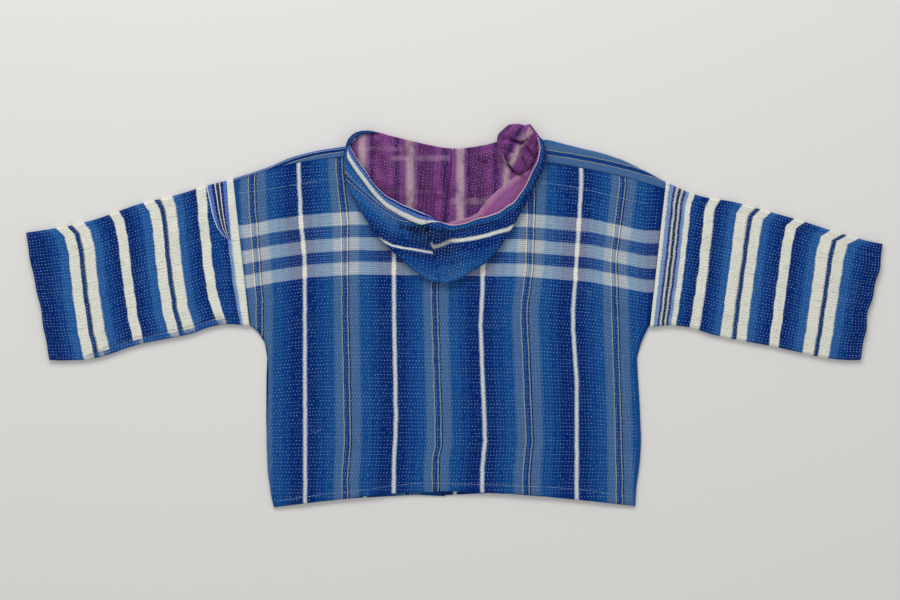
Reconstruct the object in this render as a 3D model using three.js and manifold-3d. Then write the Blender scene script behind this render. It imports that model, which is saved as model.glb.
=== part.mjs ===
// Hooded kantha jacket of quilted cotton, laid out face down: the fronts lie underneath,
// the back lies on them, the sleeves reach out to the sides and the hood lies open on the
// upper back. Millimetres, +Z up. The origin is on the surface under the middle of the
// jacket's box, +X runs along the sleeves to the right and +Y runs from the hem to the hood.
// Left and right are the wearer's, which are also left and right in this frame.

import * as THREE from 'three';
import { mergeVertices } from 'three/addons/utils/BufferGeometryUtils.js';
import Module from 'manifold-3d';

const wasm = await Module();
wasm.setup();

// ---------------------------------------------------------------- driving dimensions

const WALL = 2;              // quilted cotton: two cloths and their running stitch
const SEAM_GAP = 0.3;        // between two pieces where they are sewn together
const ROW_PITCH = 5.2;       // from one row of running stitch to the next
const RIB = 0.5;             // how far the cloth puffs up between two rows
const BACK_ROWS = Math.round(498 / ROW_PITCH);  // from the hem to the back neck
const BACK_PLAIN_STEPS = 16; // steps of the back's plain underside from hem to neck
const TUCK = 3;              // hollow left inside a fold of the shoulder or a sleeve
const FOLD_HEIGHT = 2 * WALL + TUCK;
const BACK_REST = 1.4;       // how far the back lies clear of the fronts, past the seam gap
const ARM_LIFT = TUCK - SEAM_GAP;
const EDGE_SPREAD = 45;      // how far in from a seam its height still tells
const ARC_STEPS = 4;         // flat steps round half a turn of a folded wall

const COTTON = { roughness: 0.92, metalness: 0 };
const INDIGO = { color: 0x1a4a94, ...COTTON };
const SLEEVE_BLUE = { color: 0x2457a0, ...COTTON };
const HOOD_BLUE = { color: 0x16408a, ...COTTON };
const FRONT_BLUE = { color: 0x2f62a4, ...COTTON };

// The sides of the back panel from the hem up to the underarm. Above it the armholes run
// straight to the ends of the shoulders.
const BACK_SIDES = [
  { y: -286.5, left: -271.5, right: 270.0 },
  { y: -255.0, left: -277.5, right: 272.0 },
  { y: -207.0, left: -281.5, right: 277.5 },
  { y: -156.0, left: -281.5, right: 277.5 },
  { y: -99.0, left: -280.0, right: 274.5 },
  { y: -62.0, left: -281.0, right: 273.0 },
  { y: -40.0, left: -285.0, right: 279.0 },
  { y: -24.0, left: -295.0, right: 286.0 },
  { y: -13.5, left: -307.5, right: 291.8 },
];

// The back hem, arched up in the middle.
const BACK_HEM = [
  { x: -271.5, y: -286.5 },
  { x: -170.0, y: -274.5 },
  { x: -60.0, y: -264.5 },
  { x: 60.0, y: -265.5 },
  { x: 170.0, y: -274.0 },
  { x: 270.0, y: -285.0 },
];

// The top of the back: left shoulder seam, back neck, right shoulder seam.
const BACK_TOP = [
  { x: -331.5, y: 201.3 },
  { x: -280.5, y: 218.3 },
  { x: -234.0, y: 229.5 },
  { x: -166.5, y: 238.5 },
  { x: -90.0, y: 234.0 },
  { x: -4.5, y: 229.5 },
  { x: 80.0, y: 229.5 },
  { x: 139.5, y: 229.5 },
  { x: 186.0, y: 222.0 },
  { x: 237.0, y: 211.5 },
  { x: 276.0, y: 201.6 },
  { x: 314.4, y: 190.5 },
];

// Each front rolls over the shoulder: its fold line, the strip that shows on top, and how
// far a section leans across for each millimetre down, to meet the slanted armhole.
const LEFT_SHOULDER = [
  { x: -331.9, fold: 205.8, strip: 4.2, lean: 0.111 },
  { x: -280.5, fold: 222.8, strip: 4.2, lean: 0 },
  { x: -234.0, fold: 240.8, strip: 11.0, lean: 0 },
  { x: -166.5, fold: 254.0, strip: 15.2, lean: 0 },
];
const RIGHT_SHOULDER = [
  { x: 139.5, fold: 264.0, strip: 34.2, lean: 0 },
  { x: 186.0, fold: 252.0, strip: 29.7, lean: 0 },
  { x: 237.0, fold: 238.5, strip: 26.7, lean: 0 },
  { x: 276.0, fold: 221.5, strip: 19.6, lean: 0 },
  { x: 315.4, fold: 201.0, strip: 10.2, lean: -0.111 },
];
const SHOULDER_TAIL = 22;    // the part of the roll that runs in under the back

// The hem of each front from the side to the centre front, just below the back's there.
const LEFT_FRONT_HEM = [
  { x: -268.5, y: -283.0 },
  { x: -150.0, y: -273.0 },
  { x: -60.0, y: -268.0 },
  { x: -15.2, y: -270.0 },
];
const RIGHT_FRONT_HEM = [
  { x: 267.0, y: -282.0 },
  { x: 150.0, y: -272.0 },
  { x: 60.0, y: -265.0 },
  { x: -14.8, y: -268.5 },
];
const FRONT_PEEK = { y: -118, spread: 40, reach: 3.5 };  // the left front shows past the back

// The front neckline on each side, from the shoulder down to the centre front.
const LEFT_NECK = [
  { x: -166.0, y: 238.0 },
  { x: -155.0, y: 216.0 },
  { x: -131.0, y: 181.5 },
  { x: -85.0, y: 148.5 },
  { x: -15.4, y: 130.0 },
];
const RIGHT_NECK = [
  { x: 138.0, y: 229.0 },
  { x: 127.0, y: 210.0 },
  { x: 103.0, y: 179.0 },
  { x: 56.0, y: 148.0 },
  { x: -14.6, y: 130.0 },
];

// The sleeves: top fold and bottom fold from the armhole (reach 0) to the cuff (reach 1).
const LEFT_SLEEVE = [
  { reach: 0.0, topX: -332.3, topY: 205.5, lowX: -307.8, lowY: -15.0 },
  { reach: 0.15, topX: -378.0, topY: 193.5, lowX: -352.5, lowY: -13.5 },
  { reach: 0.3, topX: -424.5, topY: 179.3, lowX: -397.5, lowY: -27.0 },
  { reach: 0.45, topX: -472.5, topY: 168.0, lowX: -442.5, lowY: -36.0 },
  { reach: 0.6, topX: -519.0, topY: 151.5, lowX: -487.5, lowY: -46.5 },
  { reach: 0.75, topX: -565.5, topY: 138.0, lowX: -532.5, lowY: -61.5 },
  { reach: 0.88, topX: -606.0, topY: 130.5, lowX: -571.5, lowY: -66.0 },
  { reach: 1.0, topX: -644.2, topY: 125.0, lowX: -607.5, lowY: -66.0 },
];
const RIGHT_SLEEVE = [
  { reach: 0.0, topX: 315.9, topY: 201.0, lowX: 291.9, lowY: -16.5 },
  { reach: 0.15, topX: 363.8, topY: 180.8, lowX: 339.0, lowY: -15.0 },
  { reach: 0.3, topX: 413.2, topY: 171.8, lowX: 386.4, lowY: -27.8 },
  { reach: 0.45, topX: 462.5, topY: 158.3, lowX: 433.8, lowY: -37.5 },
  { reach: 0.6, topX: 511.8, topY: 144.8, lowX: 481.2, lowY: -46.5 },
  { reach: 0.75, topX: 561.0, topY: 129.0, lowX: 528.6, lowY: -57.0 },
  { reach: 0.88, topX: 604.0, topY: 116.3, lowX: 569.7, lowY: -64.5 },
  { reach: 1.0, topX: 644.2, topY: 108.0, lowX: 607.5, lowY: -66.0 },
];
const SLEEVE_ROWS = 40;      // rows of stitch across the upper side of a sleeve
const SLEEVE_PLAIN_ROWS = 8; // steps of the plain inside across a sleeve
const SLEEVE_SPANS = 9;      // steps from the armhole to the cuff

// Rows of a table as objects whose fields are the named columns.
function table(columns, rows) {
  const names = columns.split(' ');
  return rows.map((row) => Object.fromEntries(names.map((name, i) => [name, row[i]])));
}

// The hood, a row for each section from the left corner of its mouth to the right one.
// seam: where it is sewn to the neck. fold: where it turns over to lie on the back.
// crown: its lowest edge. rim: the free edge round the face, and its height.
const HOOD_SECTIONS = table(
  'order seamX seamY seamZ foldX foldY crownX crownY rimX rimY rimZ',
  [
    [0, -145, 234, 1.2, -142, 273, -165, 246, -157, 254, 15],
    [1, -131, 232, 1.2, -133, 276, -163, 210, -148, 237, 18],
    [2, -116, 236, 1.6, -119, 275, -147, 171, -132, 214, 20],
    [3, -100, 235.1, 4, -101, 270, -123, 132, -112, 186, 21],
    [4, -81, 234.1, 4.7, -81, 265, -103, 108, -89, 169, 21],
    [5, -60, 232.9, 4.7, -60, 260, -79, 85, -65, 159, 20],
    [6, -33, 231.5, 4.7, -33, 254, -50, 61, -40, 150, 20],
    [7, -4, 230, 4.7, -4, 250, -24, 51, -16, 139, 20],
    [8, 17, 229.9, 4.7, 17, 251, -3, 53, 9, 138, 19],
    [9, 38, 229.9, 4.7, 38, 254, 22, 66, 33, 146, 19],
    [10, 56, 229.9, 4.7, 56, 258, 54, 89, 56, 152, 19],
    [11, 72, 229.9, 4, 72, 264, 78, 122, 77, 164, 20.4],
    [12, 87, 230.2, 2.6, 86, 271, 99, 158, 96, 182, 21.4],
    [13, 100, 233, 1.2, 98, 279, 121, 201, 114, 215, 21.3],
    [14, 110, 233, 1.2, 107, 285, 135, 234, 125, 243, 20.5],
    [15, 118, 234, 1.2, 113, 286.5, 132, 261, 123, 267, 17.8],
  ],
);
const HOOD_SEAM_AT = 7;      // the section on the hood's centre seam
const HOOD_LOW = 8.6;        // middle of the hood's lower layer above the surface
const HOOD_ROWS = 36;        // rows of stitch across each half of the hood
const CROWN_RADIUS = 3.6;    // half the height of the fold along the crown
const MIN_NECK_RADIUS = 2;
const NECK_ROUNDNESS = 0.8;  // the neck fold's reach outwards against half its height
const RIM_BOW = 0.6;         // how far the upper layer bows up between crown and rim
const LOWER_LAYER_STEPS = 3; // steps of a section from the neck fold to the crown
const HOOD_UPPER_POINTS = 2; // points of a section on the upper layer, past the crown
const HOOD_PLAIN_SPANS = 12; // steps of the plain face across each half
const HOOD_SEAM_SHARE = 0.008;  // half the centre seam's gap, as a share of a section
const FLAP_CLEAR = 0.5;      // the flap underneath stands this far above the neckline
const FLAP_EDGE_LEFT = [     // the face edge underneath, from the centre front to the corner
  { x: -16.0, y: 140.0 },
  { x: -65.0, y: 175.0 },
  { x: -105.0, y: 215.0 },
  { x: -116.0, y: 246.0 },
  { x: -136.0, y: 262.0 },
];
const FLAP_EDGE_RIGHT = [
  { x: -14.0, y: 140.0 },
  { x: 42.0, y: 175.0 },
  { x: 82.0, y: 212.0 },
  { x: 98.0, y: 246.0 },
  { x: 106.0, y: 268.0 },
];

// The lining bunched up at the right corner of the hood's mouth.
const BUNCH = { x: 92, y: 258, radius: 26, rise: 9, folds: 3, foldRise: 2.2 };

// Soft folds of the laid cloth: a ridge (or trough, where rise is negative) from one end
// to the other, with the distance over which it dies away on each side.
const BACK_FOLDS = [
  { x: -262, y: -40, toX: -205, toY: -105, spread: 14, rise: 1.6 },
  { x: -255, y: -10, toX: -180, toY: 20, spread: 13, rise: 1.4 },
  { x: -240, y: -250, toX: -226, toY: -60, spread: 22, rise: 1.2 },
  { x: -128, y: -262, toX: -140, toY: -20, spread: 26, rise: 1.3 },
  { x: 12, y: -255, toX: 4, toY: -60, spread: 24, rise: 1.2 },
  { x: 110, y: -250, toX: 122, toY: 40, spread: 26, rise: 1.3 },
  { x: 215, y: -240, toX: 232, toY: -30, spread: 20, rise: 1.6 },
  { x: 262, y: -30, toX: 196, toY: -88, spread: 14, rise: 1.7 },
  { x: 250, y: 20, toX: 180, toY: 52, spread: 14, rise: 1.3 },
  { x: -210, y: 60, toX: -150, toY: 120, spread: 20, rise: 1.1 },
];
const LEFT_SLEEVE_FOLDS = [
  { x: -345, y: 165, toX: -420, toY: 120, spread: 13, rise: 1.9 },
  { x: -330, y: 40, toX: -400, toY: 60, spread: 12, rise: 1.7 },
  { x: -325, y: 5, toX: -378, toY: 8, spread: 9, rise: 1.6 },
  { x: -470, y: 130, toX: -455, toY: 40, spread: 14, rise: 1.5 },
  { x: -545, y: 105, toX: -520, toY: -20, spread: 15, rise: 1.6 },
  { x: -620, y: 95, toX: -590, toY: -40, spread: 12, rise: 1.3 },
];
const RIGHT_SLEEVE_FOLDS = [
  { x: 330, y: 160, toX: 395, toY: 110, spread: 13, rise: 1.8 },
  { x: 310, y: 20, toX: 372, toY: 34, spread: 11, rise: 1.7 },
  { x: 425, y: 130, toX: 405, toY: 10, spread: 15, rise: 1.4 },
  { x: 500, y: 110, toX: 478, toY: -15, spread: 15, rise: 1.6 },
  { x: 560, y: 95, toX: 535, toY: -30, spread: 14, rise: 1.5 },
  { x: 612, y: 80, toX: 590, toY: -30, spread: 11, rise: 1.4 },
];

// ---------------------------------------------------------------- curves from the tables

const mix = (a, b, t) => a + (b - a) * t;
const clamp = (value) => Math.min(1, Math.max(0, value));
const smooth = (t) => clamp(t) * clamp(t) * (3 - 2 * clamp(t));

// The value of one column at a place along another, on a smooth curve through the rows.
function follow(rows, along, column, at) {
  const last = rows.length - 1;
  let row = 0;
  while (row < last - 1 && at > rows[row + 1][along]) {
    row += 1;
  }
  const slope = (i) => {
    const before = rows[Math.max(0, i - 1)];
    const after = rows[Math.min(last, i + 1)];
    return (after[column] - before[column]) / (after[along] - before[along]);
  };
  const from = rows[row];
  const to = rows[row + 1];
  const width = to[along] - from[along];
  const t = clamp((at - from[along]) / width);
  const start = from[column] + slope(row) * width * t;
  const end = to[column] - slope(row + 1) * width * (1 - t);
  return mix(start, end, smooth(t));
}

// Height of the soft folds over one point.
function foldRise(folds, x, y) {
  let rise = 0;
  for (const fold of folds) {
    const runX = fold.toX - fold.x;
    const runY = fold.toY - fold.y;
    const length = Math.hypot(runX, runY);
    const along = ((x - fold.x) * runX + (y - fold.y) * runY) / length;
    const aside = ((x - fold.x) * runY - (y - fold.y) * runX) / length;
    const past = Math.max(0, -along, along - length);
    rise += fold.rise * Math.exp(-(aside ** 2 + past ** 2) / fold.spread ** 2);
  }
  return rise;
}

// ---------------------------------------------------------------- walls of cloth

// A closed mesh gathered from grids of points and the strips that join their edges.
class Wall {
  constructor() {
    this.points = [];
    this.faces = [];
  }

  // Puts in a grid of points and gives back the numbers of its vertices.
  vertices(grid) {
    return grid.map((line) => line.map((point) => this.points.push(point) - 1));
  }

  // Covers a grid of vertices. The face looks along (next line) x (next point), or back.
  cover(ids, reversed) {
    for (let i = 0; i + 1 < ids.length; i += 1) {
      for (let j = 0; j + 1 < ids[i].length; j += 1) {
        const corners = [ids[i][j], ids[i + 1][j], ids[i + 1][j + 1], ids[i][j + 1]];
        const [a, b, c, d] = reversed ? corners.reverse() : corners;
        this.faces.push([a, b, c], [a, c, d]);
      }
    }
  }

  // Joins the edge of an inner grid to the edge of an outer one that runs beside it.
  join(inner, outer) {
    let i = 0;
    let j = 0;
    while (i + 1 < inner.length || j + 1 < outer.length) {
      const innerNext = (i + 1) / (inner.length - 1);
      const outerNext = (j + 1) / (outer.length - 1);
      if (innerNext <= outerNext) {
        this.faces.push([inner[i], inner[i + 1], outer[j]]);
        i += 1;
      } else {
        this.faces.push([inner[i], outer[j + 1], outer[j]]);
        j += 1;
      }
    }
  }

  geometry() {
    const shape = new THREE.BufferGeometry();
    const positions = new Float32Array(this.points.flat());
    shape.setAttribute('position', new THREE.BufferAttribute(positions, 3));
    shape.setIndex(this.faces.flat());
    return mergeVertices(shape);
  }
}

// The four edges of a grid in turn, each running round the panel in the same direction.
function edgesOf(ids) {
  const lines = ids.length - 1;
  const ends = ids[0].length - 1;
  return [
    ids.map((line) => line[0]),
    ids[lines],
    ids.map((line) => line[ends]).reverse(),
    [...ids[0]].reverse(),
  ];
}

// A panel with a ribbed outer face, a plain inner face and a rim round its four edges.
function panelWall(outerGrid, innerGrid) {
  const wall = new Wall();
  const outer = wall.vertices(outerGrid);
  const inner = wall.vertices(innerGrid);
  wall.cover(outer, false);
  wall.cover(inner, true);
  const outerEdges = edgesOf(outer);
  edgesOf(inner).forEach((edge, side) => wall.join(edge, outerEdges[side]));
  return wall.geometry();
}

// A tube with a ribbed outer face, a plain inner face and an open ring at each end.
function tubeWall(outerRings, innerRings) {
  const wall = new Wall();
  const closed = (line) => [...line, line[0]];
  const outer = wall.vertices(outerRings).map(closed);
  const inner = wall.vertices(innerRings).map(closed);
  wall.cover(outer, false);
  wall.cover(inner, true);
  wall.join(inner.at(-1), outer.at(-1));
  wall.join([...inner[0]].reverse(), [...outer[0]].reverse());
  return wall.geometry();
}

// Even steps from 0 to 1.
function steps(count) {
  return Array.from({ length: count + 1 }, (_, i) => i / count);
}

// ---------------------------------------------------------------- solids joined and cut

function toSolid(geometry) {
  const bare = new THREE.BufferGeometry();
  bare.setAttribute('position', geometry.getAttribute('position').clone());
  if (geometry.index) {
    bare.setIndex(geometry.index.clone());
  }
  const merged = mergeVertices(bare);
  return new wasm.Manifold(new wasm.Mesh({
    numProp: 3,
    vertProperties: new Float32Array(merged.getAttribute('position').array),
    triVerts: new Uint32Array(merged.index.array),
  }));
}

function fromSolid(solid) {
  const mesh = solid.getMesh();
  const geometry = new THREE.BufferGeometry();
  geometry.setAttribute('position', new THREE.BufferAttribute(mesh.vertProperties, 3));
  geometry.setIndex(new THREE.BufferAttribute(mesh.triVerts, 1));
  return geometry;
}

// A flat piece of cloth on the surface, one wall thick, from the points of its outline.
function flatCloth(outline) {
  const shape = new THREE.Shape(outline.map(({ x, y }) => new THREE.Vector2(x, y)));
  return new THREE.ExtrudeGeometry(shape, { depth: WALL, bevelEnabled: false });
}

// A solid through sections of equal point counts that follow each other along +X, closed
// with a flat face at each end. The points of a section run anticlockwise seen from +X.
function loft(sections) {
  const wall = new Wall();
  const rings = wall.vertices(sections);
  wall.cover(rings.map((ring) => [...ring, ring[0]]), true);
  const cap = (ring, points, reversed) => {
    const flat = points.map(([, y, z]) => new THREE.Vector2(y, z));
    for (const [a, b, c] of THREE.ShapeUtils.triangulateShape(flat, [])) {
      wall.faces.push(reversed ? [ring[c], ring[b], ring[a]] : [ring[a], ring[b], ring[c]]);
    }
  };
  cap(rings[0], sections[0], true);
  cap(rings.at(-1), sections.at(-1), false);
  return wall.geometry();
}

// ---------------------------------------------------------------- back

// Where one side of the back runs at a height up the panel.
function sideOfBack(side, shoulderEnd, y) {
  const underarm = BACK_SIDES.at(-1);
  return y > underarm.y
    ? mix(underarm[side], shoulderEnd.x, (y - underarm.y) / (shoulderEnd.y - underarm.y))
    : follow(BACK_SIDES, 'y', side, y);
}

// A point of the back panel, on the smooth patch between its four edges. Both numbers run
// from 0 to 1: across from the left side to the right, up from the hem to the shoulders.
function backPlan(across, up) {
  const hemX = mix(BACK_HEM[0].x, BACK_HEM.at(-1).x, across);
  const topX = mix(BACK_TOP[0].x, BACK_TOP.at(-1).x, across);
  const hemY = follow(BACK_HEM, 'x', 'y', hemX);
  const topY = follow(BACK_TOP, 'x', 'y', topX);
  const leftY = mix(BACK_HEM[0].y, BACK_TOP[0].y, up);
  const rightY = mix(BACK_HEM.at(-1).y, BACK_TOP.at(-1).y, up);
  const leftX = sideOfBack('left', BACK_TOP[0], leftY);
  const rightX = sideOfBack('right', BACK_TOP.at(-1), rightY);
  const evenX = mix(hemX, topX, up);
  const evenY = mix(
    mix(BACK_HEM[0].y, BACK_HEM.at(-1).y, across),
    mix(BACK_TOP[0].y, BACK_TOP.at(-1).y, across),
    up,
  );
  const cornerLeft = mix(BACK_HEM[0].x, BACK_TOP[0].x, up);
  const cornerRight = mix(BACK_HEM.at(-1).x, BACK_TOP.at(-1).x, up);
  return {
    x: evenX + mix(leftX - cornerLeft, rightX - cornerRight, across),
    y: mix(hemY, topY, up) + mix(leftY, rightY, across) - evenY,
    leftX,
    rightX,
    topY,
  };
}

// Height of the back's plain inner face above the surface.
function backUnder(place) {
  const fromSide = Math.min(place.x - place.leftX, place.rightX - place.x);
  const nearSide = 1 - smooth(fromSide / EDGE_SPREAD);
  const atArm = smooth((place.y - BACK_SIDES.at(-1).y) / EDGE_SPREAD);
  const nearTop = 1 - smooth((place.topY - place.y) / EDGE_SPREAD);
  const pastNeck = Math.max(LEFT_SHOULDER.at(-1).x - place.x, place.x - RIGHT_SHOULDER[0].x);
  const atShoulder = smooth(pastNeck / EDGE_SPREAD);
  const folds = foldRise(BACK_FOLDS, place.x, place.y) * (1 - nearSide) * (1 - nearTop);
  let lift = mix(BACK_REST + folds, atArm * ARM_LIFT, nearSide);
  lift = mix(lift, ARM_LIFT, nearTop * atShoulder);
  return WALL + SEAM_GAP + lift;
}

function makeBack() {
  const width = BACK_TOP.at(-1).x - BACK_TOP[0].x;
  const columns = BACK_TOP.map(({ x }) => (x - BACK_TOP[0].x) / width);
  const outer = columns.map((across) => steps(2 * BACK_ROWS).map((up, j) => {
    const place = backPlan(across, up);
    return [place.x, place.y, backUnder(place) + WALL + (j % 2) * RIB];
  }));
  const inner = columns.map((across) => steps(BACK_PLAIN_STEPS).map((up) => {
    const place = backPlan(across, up);
    return [place.x, place.y, backUnder(place)];
  }));
  return panelWall(outer, inner);
}

// ---------------------------------------------------------------- fronts

// The section of a front where it rolls over the shoulder, from its tail under the back
// round the fold and on to the shoulder seam, outside first and then back along inside.
function shoulderSection({ x, fold, strip, lean }) {
  const outside = FOLD_HEIGHT / 2;
  const inside = outside - WALL;
  const place = (y, z) => [x + (fold - y) * lean, y, z];
  const turn = (radius, share) => {
    const angle = -Math.PI / 2 + Math.PI * share;
    return place(fold - outside + radius * Math.cos(angle), outside + radius * Math.sin(angle));
  };
  return [
    place(fold - SHOULDER_TAIL, 0),
    ...steps(ARC_STEPS).map((share) => turn(outside, share)),
    place(fold - strip, FOLD_HEIGHT),
    place(fold - strip, FOLD_HEIGHT - WALL),
    ...steps(ARC_STEPS).map((share) => turn(inside, 1 - share)),
    place(fold - SHOULDER_TAIL, WALL),
  ];
}

// One front: flat on the surface up to the shoulder, and rolled over it. The shoulder and
// the neckline run towards the centre front, the hem runs from the side to the centre.
function makeFront(shoulder, neck, hem, side) {
  const sideEdge = BACK_SIDES.filter(({ y }) => y > hem[0].y).map((row) => {
    const peek = FRONT_PEEK.reach * Math.exp(-(((row.y - FRONT_PEEK.y) / FRONT_PEEK.spread) ** 2));
    return { x: row[side] - (side === 'left' ? peek : 0), y: row.y };
  });
  const outline = [
    ...shoulder.map(({ x, fold, lean }) => ({
      x: x + lean * FOLD_HEIGHT / 2,
      y: fold - FOLD_HEIGHT / 2,
    })),
    ...neck,
    ...[...hem].reverse(),
    ...sideEdge,
  ];
  const sections = shoulder.map(shoulderSection);
  sections.sort((one, other) => one[0][0] - other[0][0]);
  return fromSolid(toSolid(flatCloth(outline)).add(toSolid(loft(sections))));
}

// ---------------------------------------------------------------- sleeves

// One ring of a sleeve: up round the lower fold, across the ribbed upper side, round the
// top fold and back along the flat underside. inset moves it in from the outer face.
function sleeveRing(sleeve, folds, reach, rows, inset) {
  const at = (column) => follow(sleeve, 'reach', column, reach);
  const low = new THREE.Vector2(at('lowX'), at('lowY'));
  const top = new THREE.Vector2(at('topX'), at('topY'));
  const width = low.distanceTo(top);
  const radius = FOLD_HEIGHT / 2 - inset;
  const points = [];
  const put = (distance, z) => {
    const plan = low.clone().lerp(top, distance / width);
    points.push([plan.x, plan.y, z]);
  };
  const half = FOLD_HEIGHT / 2;
  for (const share of steps(ARC_STEPS)) {
    const angle = -Math.PI / 2 - Math.PI * share;
    put(half + radius * Math.cos(angle), half + radius * Math.sin(angle));
  }
  for (let row = 1; row < rows; row += 1) {
    const distance = mix(half, width - half, row / rows);
    const plan = low.clone().lerp(top, distance / width);
    const edge = smooth(Math.min(distance, width - distance) / (EDGE_SPREAD / 2));
    const rib = inset > 0 ? 0 : (row % 2) * RIB;
    put(distance, half + radius + rib + foldRise(folds, plan.x, plan.y) * edge);
  }
  for (const share of steps(ARC_STEPS)) {
    const angle = Math.PI / 2 - Math.PI * share;
    put(width - half + radius * Math.cos(angle), half + radius * Math.sin(angle));
  }
  put(width / 2, half - radius);
  return points;
}

// A sleeve that reaches to -X has its rings turned round, so that its faces point out.
function makeSleeve(sleeve, folds, reachesLeft) {
  const rings = (rows, inset) => steps(SLEEVE_SPANS).map((reach) => {
    const ring = sleeveRing(sleeve, folds, reach, rows, inset);
    return reachesLeft ? ring.reverse() : ring;
  });
  return tubeWall(rings(2 * SLEEVE_ROWS, 0), rings(SLEEVE_PLAIN_ROWS, WALL));
}

// ---------------------------------------------------------------- hood

// Height of the bunched lining over one point of the hood's lower layer.
function bunchRise(plan) {
  const away = Math.hypot(plan.x - BUNCH.x, plan.y - BUNCH.y) / BUNCH.radius;
  const ripple = Math.cos(BUNCH.folds * Math.PI * (plan.x + plan.y - BUNCH.x - BUNCH.y)
    / BUNCH.radius);
  return (BUNCH.rise + BUNCH.foldRise * ripple) * Math.exp(-(away ** 2));
}

// One section of the hood's middle surface: from the neck seam round the neck fold, down
// the lower layer, round the crown and back up the upper layer to the rim.
function hoodSection(order) {
  const at = (column) => follow(HOOD_SECTIONS, 'order', column, order);
  const plan = (name) => new THREE.Vector2(at(`${name}X`), at(`${name}Y`));
  const [seam, fold, crown, rim] = ['seam', 'fold', 'crown', 'rim'].map(plan);
  const out = fold.clone().sub(crown).normalize();
  const foldTop = HOOD_LOW + bunchRise(fold);
  const neckRadius = Math.max(MIN_NECK_RADIUS, NECK_ROUNDNESS * (foldTop - at('seamZ')) / 2);
  const neckCentre = fold.clone().addScaledVector(out, -neckRadius);
  const crownCentre = crown.clone().addScaledVector(out, CROWN_RADIUS);
  const crownTop = HOOD_LOW + 2 * CROWN_RADIUS;
  const points = [];
  const put = (place, z) => points.push([place.x, place.y, z]);
  const turn = (centre, reach, from, to) => {
    for (const share of steps(ARC_STEPS)) {
      const angle = Math.PI * share;
      const place = centre.clone().addScaledVector(out, reach * Math.sin(angle));
      put(place, mix(from, to, (1 - Math.cos(angle)) / 2));
    }
  };
  put(seam, at('seamZ'));
  put(seam.clone().lerp(neckCentre, 0.5), at('seamZ'));
  turn(neckCentre, neckRadius, at('seamZ'), foldTop);
  for (const share of steps(LOWER_LAYER_STEPS).slice(1, -1)) {
    const place = neckCentre.clone().lerp(crownCentre, share);
    put(place, HOOD_LOW + bunchRise(place));
  }
  turn(crownCentre, -CROWN_RADIUS, HOOD_LOW, crownTop);
  put(crownCentre.clone().lerp(rim, 0.5), mix(crownTop, at('rimZ'), 0.5) + RIM_BOW);
  put(rim, at('rimZ'));
  return points;
}

// Moves a grid of the middle surface out (or in) by half a wall along its own normals.
function offset(grid, distance) {
  const vector = (i, j) => new THREE.Vector3(...grid[i][j]);
  const lines = grid.length - 1;
  const ends = grid[0].length - 1;
  return grid.map((line, i) => line.map((_, j) => {
    const across = vector(Math.min(i + 1, lines), j).sub(vector(Math.max(i - 1, 0), j));
    const along = vector(i, Math.min(j + 1, ends)).sub(vector(i, Math.max(j - 1, 0)));
    const normal = across.cross(along).normalize();
    return vector(i, j).addScaledVector(normal, distance(i, j)).toArray();
  }));
}

function makeHoodHalf(from, to, flapNeck, flapEdge) {
  const middle = (lines) => steps(lines).map((share) => hoodSection(mix(from, to, share)));
  const lastOfCrown = middle(1)[0].length - 1 - HOOD_UPPER_POINTS;
  const outer = offset(middle(2 * HOOD_ROWS), (i, j) => (
    WALL / 2 + (j > lastOfCrown ? (i % 2) * RIB : 0)
  ));
  const inner = offset(middle(HOOD_PLAIN_SPANS), () => -WALL / 2);
  const neck = flapNeck.map(({ x, y }) => ({ x, y: y + FLAP_CLEAR }));
  const flap = flatCloth([...neck, ...flapEdge]);
  return fromSolid(toSolid(panelWall(outer, inner)).add(toSolid(flap)));
}

// ---------------------------------------------------------------- the jacket

const jacket = new THREE.Group();

function place(name, geometry, finish) {
  const mesh = new THREE.Mesh(geometry, new THREE.MeshStandardMaterial(finish));
  mesh.name = name;
  jacket.add(mesh);
}

function makeRightFront() {
  return makeFront([...RIGHT_SHOULDER].reverse(), RIGHT_NECK, RIGHT_FRONT_HEM, 'right');
}

function makeHood(side) {
  const last = HOOD_SECTIONS.length - 1;
  return side === 'left'
    ? makeHoodHalf(0, HOOD_SEAM_AT - HOOD_SEAM_SHARE, LEFT_NECK, FLAP_EDGE_LEFT)
    : makeHoodHalf(HOOD_SEAM_AT + HOOD_SEAM_SHARE, last, RIGHT_NECK, FLAP_EDGE_RIGHT);
}

place('back', makeBack(), INDIGO);
place('front_left', makeFront(LEFT_SHOULDER, LEFT_NECK, LEFT_FRONT_HEM, 'left'), FRONT_BLUE);
place('front_right', makeRightFront(), FRONT_BLUE);
place('sleeve_left', makeSleeve(LEFT_SLEEVE, LEFT_SLEEVE_FOLDS, true), SLEEVE_BLUE);
place('sleeve_right', makeSleeve(RIGHT_SLEEVE, RIGHT_SLEEVE_FOLDS, false), SLEEVE_BLUE);
place('hood_left', makeHood('left'), HOOD_BLUE);
place('hood_right', makeHood('right'), HOOD_BLUE);

// The middle of the jacket's box stands over the origin.
const middle = new THREE.Box3().setFromObject(jacket).getCenter(new THREE.Vector3());
jacket.position.set(-middle.x, -middle.y, 0);

export default jacket;
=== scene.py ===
"""Looks of a hooded kantha jacket of quilted cotton, laid out face down.

Each cut piece is a thin shell of cloth on the form of its solid, with its creases placed one by
one, its woven stripes charted across the cloth, and the rows of running stitch laid over it
as thread. Sizes are in millimetres, in the frame of the solids, until a mesh is made.
"""

import logging
import math
from dataclasses import dataclass, field
from enum import Enum

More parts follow.
